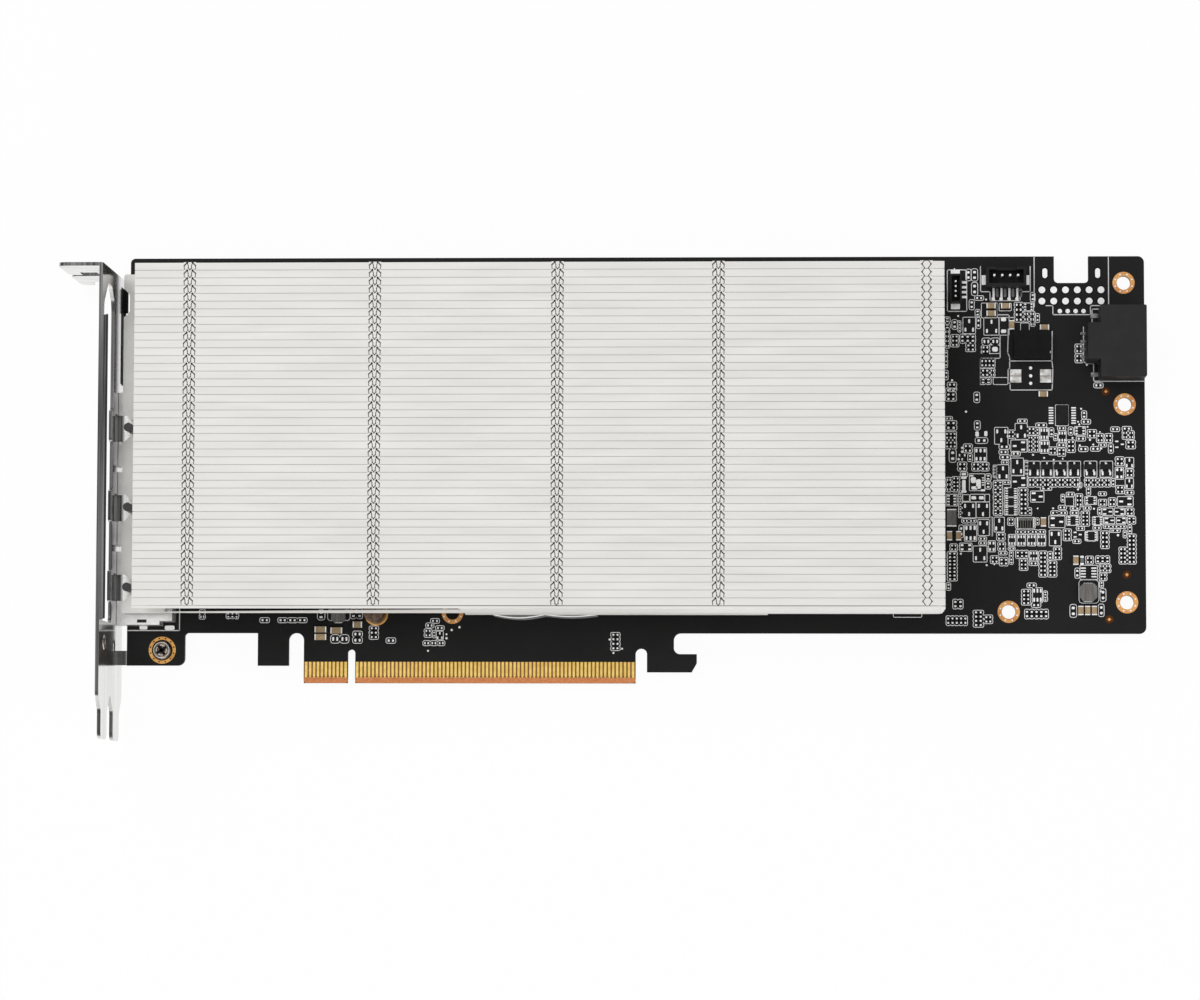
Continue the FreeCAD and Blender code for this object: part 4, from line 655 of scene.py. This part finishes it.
# Solder-filled and test points: X, Y, diameter
DOTS = (
    (213.2, 69.0, 0.6), (212.2, 59.8, 0.6), (212.2, 58.8, 0.6), (230.1, 58.0, 0.5),
    (232.9, 57.2, 0.5), (235.3, 56.7, 0.5), (242.3, 69.7, 0.5), (241.5, 66.4, 0.45),
    (241.8, 65.7, 0.5), (243.9, 65.1, 0.45), (244.5, 61.8, 0.55), (247.0, 63.8, 0.4),
    (240.1, 62.3, 0.5), (241.9, 60.4, 0.5), (245.3, 60.6, 0.5), (247.3, 59.6, 0.5),
    (209.7, 77.0, 0.6), (234.5, 84.2, 0.6), (243.8, 80.9, 0.5), (251.4, 37.6, 0.6),
    (235.1, 44.4, 0.5), (245.4, 44.3, 0.5), (229.6, 80.1, 0.85), (229.6, 78.1, 0.85),
    (229.6, 76.2, 0.85), (218.4, 97.6, 0.5), (211.3, 93.4, 0.5), (218.3, 30.0, 0.5),
    (211.8, 32.9, 0.5), (81.5, 12.4, 0.5), (84.8, 14.2, 0.6), (76.8, 8.2, 0.5),
    (81.5, 11.4, 0.6), (82.8, 13.5, 0.6), (122.9, 11.1, 0.5), (126.1, 8.8, 0.5),
    (123.9, 7.7, 0.5), (246.7, 78.4, 0.6), (246.7, 81.1, 0.4), (246.9, 94.0, 0.5),
    (211.3, 56.9, 0.6), (241.4, 49.2, 0.5), (236.0, 43.2, 0.4), (237.6, 57.0, 0.4),
    (210.4, 105.4, 0.4), (220.2, 30.2, 0.4), (231.2, 44.4, 0.4), (249.9, 38.7, 0.4),
)
for x, y, diameter in DOTS:
    pads.disc(x, y, diameter, *PAD_Z, sides=10)

# Empty connector footprint: six round pads in two rows, four smaller ones, two slots
for step in range(6):
    x = 232.53 + 2.99 * step
    for y in (100.03, 97.16):
        pads.disc(x, y, 1.72, *PAD_Z)
        clearance_and_hole_shade.band(circle(x, y, 1.8), circle(x, y, 2.4), *PRINT_Z)
for step in range(4):
    pads.disc(237.05 + 2.0 * step, 94.6, 1.14, *PAD_Z)
for x in (233.3, 246.66):
    pads.prism(rounded(x - 0.62, x + 0.62, 103.05, 105.55, 0.6, steps=5), *PAD_Z)
    clearance_and_hole_shade.band(rounded(x - 0.66, x + 0.66, 103.0, 105.6, 0.64, steps=5),
                   rounded(x - 0.95, x + 0.95, 102.7, 105.9, 0.93, steps=5), *PRINT_Z)

# Solder lands: middle X and Y, width, depth
LANDS = (
    (222.8, 92.5, 1.3, 0.9), (222.8, 89.5, 1.3, 0.9),
    (220.6, 84.9, 1.4, 1.2), (215.1, 47.1, 1.2, 0.8),
    (217.0, 47.1, 1.2, 0.8), (216.0, 63.3, 0.9, 1.3), (218.2, 63.4, 0.8, 1.3),
    (212.6, 53.1, 1.1, 0.6), (227.0, 41.0, 0.7, 2.0), (229.2, 41.0, 0.7, 2.0),
    (4.2, 14.1, 2.0, 1.1), (10.9, 14.0, 2.5, 1.1), (247.0, 23.4, 0.4, 0.5),
)
for row in LANDS:
    pads.pad(*row, *PAD_Z)
cells(25.3, 28.5, 16.3, 18.1, 3, 1)

# Wide lands of the unfilled second coil, their solder drawn up in ridges
wide_lands = Layer("wide_lands", "wet_solder", "tin")
for x in (225.8, 233.4):
    for y in (78.95, 77.2):
        wide_lands.block(x - 1.42, x + 1.42, y - 0.8, y + 0.8, *PAD_Z)
wide_lands.finish()

# Alignment marks in copper, with the dim bare ring round each
marks = Layer("alignment_rings", "dim_copper", "tin")
for x, y in ((248.6, 74.1), (253.6, 27.6), (249.1, 16.3)):
    vias.disc(x, y, 0.95, *PAD_Z, sides=4)
    marks.band(circle(x, y, 0.8), circle(x, y, 2.1), *PRINT_Z)
marks.finish()

# Fan header: solder at the leads' ends and the bare ovals between them
ovals = Layer("header_ovals", "pad_dark", "tin")
for step in range(4):
    x = 220.2 + 2.0 * step
    pads.pad(x, 97.75, 0.85, 0.7, 0.0, 0.34)
    ovals.prism(rounded(x + 0.65, x + 1.35, 98.2, 100.4, 0.34, steps=4), *PRINT_Z)
# The silver-ended chip above the lowest coil
ovals.pad(242.3, 31.2, 0.85, 1.2, 0.0, 0.45)
for y in (30.3, 32.1):
    pads.pad(242.3, y, 0.9, 0.5, 0.0, 0.46)
ovals.finish()

# Windings showing on the flat coil beside the transistors
windings = Layer("coil_windings", "bare_black", "ferrite")
for step in range(6):
    x = 226.55 + 0.6 * step
    windings.block(x - 0.21, x + 0.21, 39.35, 41.25, 1.3, 1.32)
windings.finish()

# Reworked footprint beside the heatsink: bare solder in irregular lands
for x, y, w, d in ((212.6, 50.3, 0.9, 2.7), (212.6, 52.2, 1.4, 0.6), (212.6, 48.7, 1.3, 0.6),
                   (215.0, 51.6, 1.3, 1.5), (216.3, 50.6, 1.2, 2.4), (215.3, 49.6, 1.6, 0.8),
                   (217.4, 49.0, 1.1, 0.5), (214.6, 52.7, 0.8, 0.4)):
    pads.pad(x, y, w, d, 0.0, 0.09)
for step in range(4):
    pads.pad(217.45, 50.35 + 0.6 * step, 0.6, 0.26, *PAD_Z)

# Copper rings: round the foot screw, the standoff and the spare hole, and vias in the mounts
FOOT_RING = (9.05, 8.3)
HEAD_X, HEAD_Y = 9.05, 8.25    # the foot screw's own head
STANDOFF = (63.6, 17.57)
SPARE_HOLE = (83.0, 17.8)
brass = Layer("screw_ring", "brass", "tin")
brass.band(circle(*FOOT_RING, 5.3, 40), circle(*FOOT_RING, 6.9, 40), 0.0, 0.05)
brass.band(circle(*STANDOFF, 5.1, 32), circle(*STANDOFF, 6.0, 32), 0.0, 0.05)
brass.finish()
HEAD_Z = top_of(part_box("bracket_foot_screw"))
# Painted highlight: two bright steel rings on the head; painted shade: a black cross for the shade
# in its recess
glints = Layer("screw_glints", "steel", "screw_steel")
recess_shade = Layer("screw_recess_shade", "bare_black", "black_screw")
for inner, outer, sides in ((3.75, 4.05, 32), (2.4, 2.65, 12)):
    glints.band(circle(HEAD_X, HEAD_Y, inner, sides), circle(HEAD_X, HEAD_Y, outer, sides),
                HEAD_Z, HEAD_Z + 0.02)
for turn in (0.6, 0.6 + math.pi / 2):
    dx, dy = math.cos(turn), math.sin(turn)
    recess_shade.prism([(HEAD_X + a * dx - b * dy, HEAD_Y + a * dy + b * dx)
                  for a, b in ((-1.5, -0.36), (1.5, -0.36), (1.5, 0.36), (-1.5, 0.36))],
                 HEAD_Z + 0.02, HEAD_Z + 0.03)
glints.finish()
recess_shade.finish()
vias.band(circle(*SPARE_HOLE, 3.4, 32), circle(*SPARE_HOLE, 5.5, 32), 0.0, 0.05)
# Painted shade: a black disc fills the spare hole, dark under the heatsink's shade
clearance_and_hole_shade.disc(*SPARE_HOLE, 3.4, *PRINT_Z, sides=24)
RING_R, VIA_RING_R, SCREW_VIA_RING_R = 2.8, 2.27, 3.05
last_mount_x = ends_of(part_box("mounting_rings"))[1] - RING_R
for mount in ((last_mount_x - 0.4, 101.8), (last_mount_x - 0.3, 70.8), (last_mount_x, 20.6),
              (223.8, 18.2), SPARE_HOLE):
    pads.ring_of_vias(*mount, VIA_RING_R, 8)
clearance_and_hole_shade.ring_of_vias(*FOOT_RING, SCREW_VIA_RING_R, 12)

# Soft pad below the heatsink's edge, bulging in two lobes between its screws
lobes = Layer("edge_pad", "pad_dark", "thermal_pad")
rim_highlight = Layer("edge_pad_rim_highlight", "solder", "thermal_pad")
LOBES_X, LOBES_L, LOBES_FRONT_Y, LOBES_BACK_Y = 93.8, 26.2, 16.85, 19.6
LOBES_TOP, RIM_W, RIM_T = 8.76, 0.28, 0.03
BIG_LOBE, SMALL_LOBE, LOBE_STEPS = 0.85, 0.5, 24
front_line = []
for step in range(LOBE_STEPS + 1):
    share = step / LOBE_STEPS
    wave = math.sin(math.pi * share * 2)
    swell = BIG_LOBE * wave if share < 0.5 else -SMALL_LOBE * wave
    front_line.append((LOBES_X + LOBES_L * share, LOBES_FRONT_Y - swell))
lobes.prism(front_line + [(LOBES_X + LOBES_L, LOBES_BACK_Y), (LOBES_X, LOBES_BACK_Y)], 0.02,
            LOBES_TOP)
# Painted highlight: a near-white strip along the pad's front top line
for start, end in zip(front_line, front_line[1:]):
    rim_highlight.prism([start, end, (end[0], end[1] + RIM_W), (start[0], start[1] + RIM_W)], LOBES_TOP,
              LOBES_TOP + RIM_T)
edge_pad = lobes.finish()
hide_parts("edge_thermal_pad")
rim_highlight.finish()

# Painted shade: black strips in the bracket's shadowed places and black sheets in the socket
# shells' slots, where only shade is; also two bosses on its sheet
painted_shade_strips = Layer("bracket_painted_shade", "black_plastic", "black_plastic")
BRACKET_TOP = top_of(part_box("bracket"))
# Painted shadow under the bracket's top lip
painted_shade_strips.prism(rounded(-0.8, -0.4, 14.6, 90.2, 0.19, steps=3), BRACKET_TOP - 0.9,
            BRACKET_TOP - 0.02)
# Painted shade and dark reflection on the bracket's inner face beside the board's end
painted_shade_strips.block(-1.69, -1.25, 76.0, 100.7, -1.3, -0.05)
painted_shade_strips.block(-1.69, -1.6, 76.0, 100.7, -0.1, 4.2)
painted_shade_strips.block(-1.3, -0.7, 94.6, 100.7, -1.3, -0.05)
SHELL_Z = top_of(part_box("display_socket_shells"))
FIRST_SOCKET_Y, SOCKET_PITCH = 23.7, 20.2
for step in range(3):
    y = FIRST_SOCKET_Y + SOCKET_PITCH * step
    # Black sheet painting the shade inside the shell's slot
    painted_shade_strips.block(3.6, 6.0, y - 8.75, y - 7.95, SHELL_Z, SHELL_Z + 0.02)
painted_shade_strips.finish()
bosses = Layer("bracket_bosses", "bracket", "bracket_plate")
BOSS_Y, BOSS_ROOT_X, BOSS_SIDES = 9.1, -1.71, 20
BOSS_PROFILE = ((1.9, 0.0), (1.6, 0.14), (1.1, 0.22), (0.5, 0.26))
for z in (27.4, 10.4):
    rings = []
    for radius, depth in BOSS_PROFILE:
        rings.append([bosses.mesh.verts.new(at(BOSS_ROOT_X + depth,
                                               BOSS_Y + radius * math.cos(t),
                                               z + radius * math.sin(t)))
                      for t in (2 * math.pi * k / BOSS_SIDES for k in range(BOSS_SIDES))])
    for outer, inner in zip(rings, rings[1:]):
        for k in range(BOSS_SIDES):
            n = (k + 1) % BOSS_SIDES
            bosses.mesh.faces.new((outer[k], outer[n], inner[n], inner[k]))
    bosses.mesh.faces.new(rings[-1])
    bosses.mesh.faces.new(rings[0][::-1])
bosses.finish()

# Bare laminate between the contacts and on the bevelled edge below them
contact_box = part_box("edge_contacts_front")
first, last = ends_of(contact_box)
CONTACT_Z = top_of(contact_box)
KEY_X0, KEY_X1 = 56.4, 58.3
BEVEL_Y, CONTACT_END_Y, CONTACT_TOP_Y = 1.15, 1.3, 5.4
gap_layer = Layer("contact_gaps", "contact_gap", "board_mask")
bevel = Layer("bevelled_edge", "bare_edge", "board_mask")
for x0, x1 in ((first - 0.3, KEY_X0), (KEY_X1, last + 0.3)):
    gap_layer.block(x0 + 0.1, x1 - 0.1, CONTACT_END_Y, CONTACT_TOP_Y, 0.0, 0.02)
    bevel.block(x0 + 0.1, x1 - 0.1, BEVEL_Y, 1.45, 0.0, 0.03)
    low = [bevel.mesh.verts.new(at(x, y, z)) for x, y, z in
           ((x0 + 0.5, 0.02, -0.44), (x1 - 0.5, 0.02, -0.44), (x1 + 0.02, 0.45, -0.27),
            (x1 + 0.02, BEVEL_Y, 0.0), (x0 - 0.02, BEVEL_Y, 0.0), (x0 - 0.02, 0.45, -0.27))]
    high = [bevel.mesh.verts.new(v.co + Vector((0, 0, 0.03 * MM))) for v in low]
    bevel.mesh.faces.new(high)
    bevel.mesh.faces.new(low[::-1])
    for i in range(6):
        j = (i + 1) % 6
        bevel.mesh.faces.new((low[i], low[j], high[j], high[i]))
GAP_FROM_END, SHORT_GAPS, LONG_GAPS = 0.85, 10, 70
for x in ([first + GAP_FROM_END + i for i in range(SHORT_GAPS)]
          + [last - GAP_FROM_END - i for i in range(LONG_GAPS)]):
    gap_layer.prism([(x - 0.2, CONTACT_TOP_Y), (x - 0.2, 1.95), (x - 0.4, 1.46),
                     (x + 0.4, 1.46), (x + 0.2, 1.95), (x + 0.2, CONTACT_TOP_Y)],
                    CONTACT_Z, CONTACT_Z + 0.01)
gap_layer.finish()
bevel.finish()

# ------------------------------------------------------------------ folds of the fin stack, with painted shade in their creases and gaps
FIN_LOW_Y, FIN_PITCH, FIN_COUNT = 17.97, 1.938, 44
TAB_XS = (19.7, 65.8, 111.1, 150.9, 202.2)
TAB_HALF_W = 1.55
fin_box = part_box("fin_stack")
FIN_Z = top_of(fin_box)
FIN_X0, FIN_X1 = ends_of(fin_box)
tab_faces = Layer("tab_faces", "fins", "sink_metal")
fold_shadow_marks = Layer("tab_shadows", "fold_dark", "sink_metal")
crease_shade = Layer("tab_crease_shade", "fold_mid_shade", "sink_metal")
fin_gap_shade = Layer("fin_gap_painted_shade", "fin_gap_shade_grey", "sink_metal")
MID_Z = (FIN_Z + 0.01, FIN_Z + 0.02)
DARK_Z = (FIN_Z + 0.01, FIN_Z + 0.03)
# Painted crease shade of a tab's half: layer, width, heights, points as (from the middle, below
# the top)
CREASE_SHADES = (
    (fold_shadow_marks, 0.32, DARK_Z, ((0.66, 0.16), (1.41, 0.86))),
    (crease_shade, 0.22, MID_Z, ((1.41, 0.9), (1.38, 1.72))),
    (crease_shade, 0.22, MID_Z, ((0.66, 0.1), (0.42, 0.85), (0.4, 1.5))),
    (crease_shade, 0.2, MID_Z, ((0.36, 1.5), (-0.1, 1.95))),
)
# Dark discs of painted shade at the creases' ends: from the middle, below the top, diameter
CREASE_END_SHADES = ((0.38, 1.5, 0.36), (0.66, 0.1, 0.52))
HUMP = ((0.5, 0.0), (1.15, 0.9), (0.5, 1.8))
KNOT_OFF, KNOT_DOWN, KNOT_D = 1.1, 0.9, 0.5
for i in range(FIN_COUNT):
    low = FIN_LOW_Y + FIN_PITCH * i
    high = low + FIN_PITCH
    # Painted shade: a mid-grey strip sunk in each gap between fins stands for the shade of the
    # groove
    if i:
        fin_gap_shade.block(FIN_X0 + 0.3, FIN_X1 - 0.3, low - 0.17, low - 0.01, FIN_Z - 0.3, FIN_Z - 0.12)
    for x in TAB_XS:
        tab_faces.block(x - TAB_HALF_W, x + TAB_HALF_W, low + 0.12, high - 0.02, FIN_Z,
                        FIN_Z + 0.01)
        if x == TAB_XS[-1]:
            # The last row shows as a chain of round humps, drawn as painted crease shade with dark
            # knots
            for side in (-1, 1):
                crease_shade.stroke([(x + side * off, high - down) for off, down in HUMP], 0.24,
                                 *MID_Z)
                knot = fold_shadow_marks if (i + side) % 3 == 0 else crease_shade
                knot.disc(x + side * KNOT_OFF, high - KNOT_DOWN, KNOT_D, *DARK_Z, sides=8)
            crease_shade.block(x - 0.5, x + 0.5, high - 0.14, high, *MID_Z)
            continue
        for side in (-1, 1):
            for layer, width, heights, points in CREASE_SHADES:
                layer.stroke([(x + side * off, high - down) for off, down in points], width,
                             *heights)
            for off, down, diameter in CREASE_END_SHADES:
                fold_shadow_marks.disc(x + side * off, high - down, diameter, *DARK_Z, sides=8)
for layer in (tab_faces, fold_shadow_marks, crease_shade, fin_gap_shade):
    layer.finish()

for layer in (print_layer, line_layer, clearance_and_hole_shade, pads, vias):
    layer.finish()

# ------------------------------------------------------------------ camera, light and floor
scene = bpy.context.scene
scene.view_settings.view_transform = "Standard"

# The camera stands beside the card's middle, over its right end, and looks back at it.
CAMERA_X, CAMERA_Y, CAMERA_Z = 165.9, -39.9, 1130.0
VIEW_X, VIEW_Y = 120.39, 46.57
CAMERA_ROLL, LENS_MM, SENSOR_MM = 0.0027, 133.95, 36.0
camera_data = bpy.data.cameras.new("camera")
camera = bpy.data.objects.new("camera", camera_data)
scene.collection.objects.link(camera)
place = at(CAMERA_X, CAMERA_Y, CAMERA_Z)
toward = (at(VIEW_X, VIEW_Y) - place).normalized()
right = toward.cross(Vector((0, 1, 0))).normalized()
upward = right.cross(toward)
turn = Matrix((right, upward, -toward)).transposed() @ Matrix.Rotation(CAMERA_ROLL, 3, "Z")
camera.matrix_world = Matrix.Translation(place) @ turn.to_4x4()
camera_data.sensor_width = SENSOR_MM
camera_data.lens = LENS_MM
camera_data.clip_end = 10.0
scene.camera = camera


def area_light(name, place, target, size, power):
    data = bpy.data.lights.new(name, "AREA")
    data.size = size
    data.energy = power
    light = bpy.data.objects.new(name, data)
    light.location = place
    light.rotation_euler = (Vector(target) - Vector(place)).to_track_quat("-Z", "Y").to_euler()
    scene.collection.objects.link(light)


area_light("key", (-0.5, 0.5, 1.1), (0, 0, 0), 0.8, 6.6)
area_light("fill", (0.7, -0.5, 1.0), (0, 0, 0), 0.9, 3.2)
area_light("front", (0.0, -0.95, 0.3), (0, 0, 0.02), 0.6, 3.0)


def backdrop_rays(tree):
    """1 for camera, mirror and see-through rays: metal and glass then show the backdrop too."""
    path = tree.nodes.new("ShaderNodeLightPath")
    bounced = combine(tree, "MAXIMUM", path.outputs["Is Glossy Ray"],
                      path.outputs["Is Transmission Ray"])
    return combine(tree, "MAXIMUM", path.outputs["Is Camera Ray"], bounced)


def mix_shaders(tree, factor, first, second, output):
    mix = tree.nodes.new("ShaderNodeMixShader")
    tree.links.new(factor, mix.inputs["Fac"])
    tree.links.new(first, mix.inputs[1])
    tree.links.new(second, mix.inputs[2])
    tree.links.new(mix.outputs["Shader"], output)


WORLD_LIGHT, BACKDROP, WHITE = 0.5, 1.0, (1, 1, 1, 1)
world = bpy.data.worlds.new("studio")
scene.world = world
world.use_nodes = True
tree = world.node_tree
lit = tree.nodes["Background"]
seen = tree.nodes.new("ShaderNodeBackground")
for background, strength in ((lit, WORLD_LIGHT), (seen, BACKDROP)):
    background.inputs["Color"].default_value = WHITE
    background.inputs["Strength"].default_value = strength
mix_shaders(tree, backdrop_rays(tree), lit.outputs["Background"], seen.outputs["Background"],
            tree.nodes["World Output"].inputs["Surface"])

FLOOR_HALF, FLOOR_Z, FLOOR_GLOW = 2.5, -0.0002, 0.95
floor_mesh = bpy.data.meshes.new("floor")
floor_mesh.from_pydata([(x * FLOOR_HALF, y * FLOOR_HALF, FLOOR_Z)
                        for x, y in ((-1, -1), (1, -1), (1, 1), (-1, 1))], [], [(0, 1, 2, 3)])
floor = bpy.data.objects.new("floor", floor_mesh)
scene.collection.objects.link(floor)
floor_material, tree, shader = new_material("floor")
tint = ramp(tree, noise(tree, 3.0), [(0.3, grey(0.9)), (0.7, grey(0.92))])
tree.links.new(tint, shader.inputs["Base Color"])
shader.inputs["Roughness"].default_value = 0.9
glow = tree.nodes.new("ShaderNodeEmission")
glow.inputs["Strength"].default_value = BACKDROP
share = tree.nodes.new("ShaderNodeMath")
share.operation = "MULTIPLY"
share.inputs[1].default_value = FLOOR_GLOW
tree.links.new(backdrop_rays(tree), share.inputs[0])
mix_shaders(tree, share.outputs["Value"], shader.outputs["BSDF"], glow.outputs["Emission"],
            tree.nodes["Material Output"].inputs["Surface"])
floor_mesh.materials.append(floor_material)
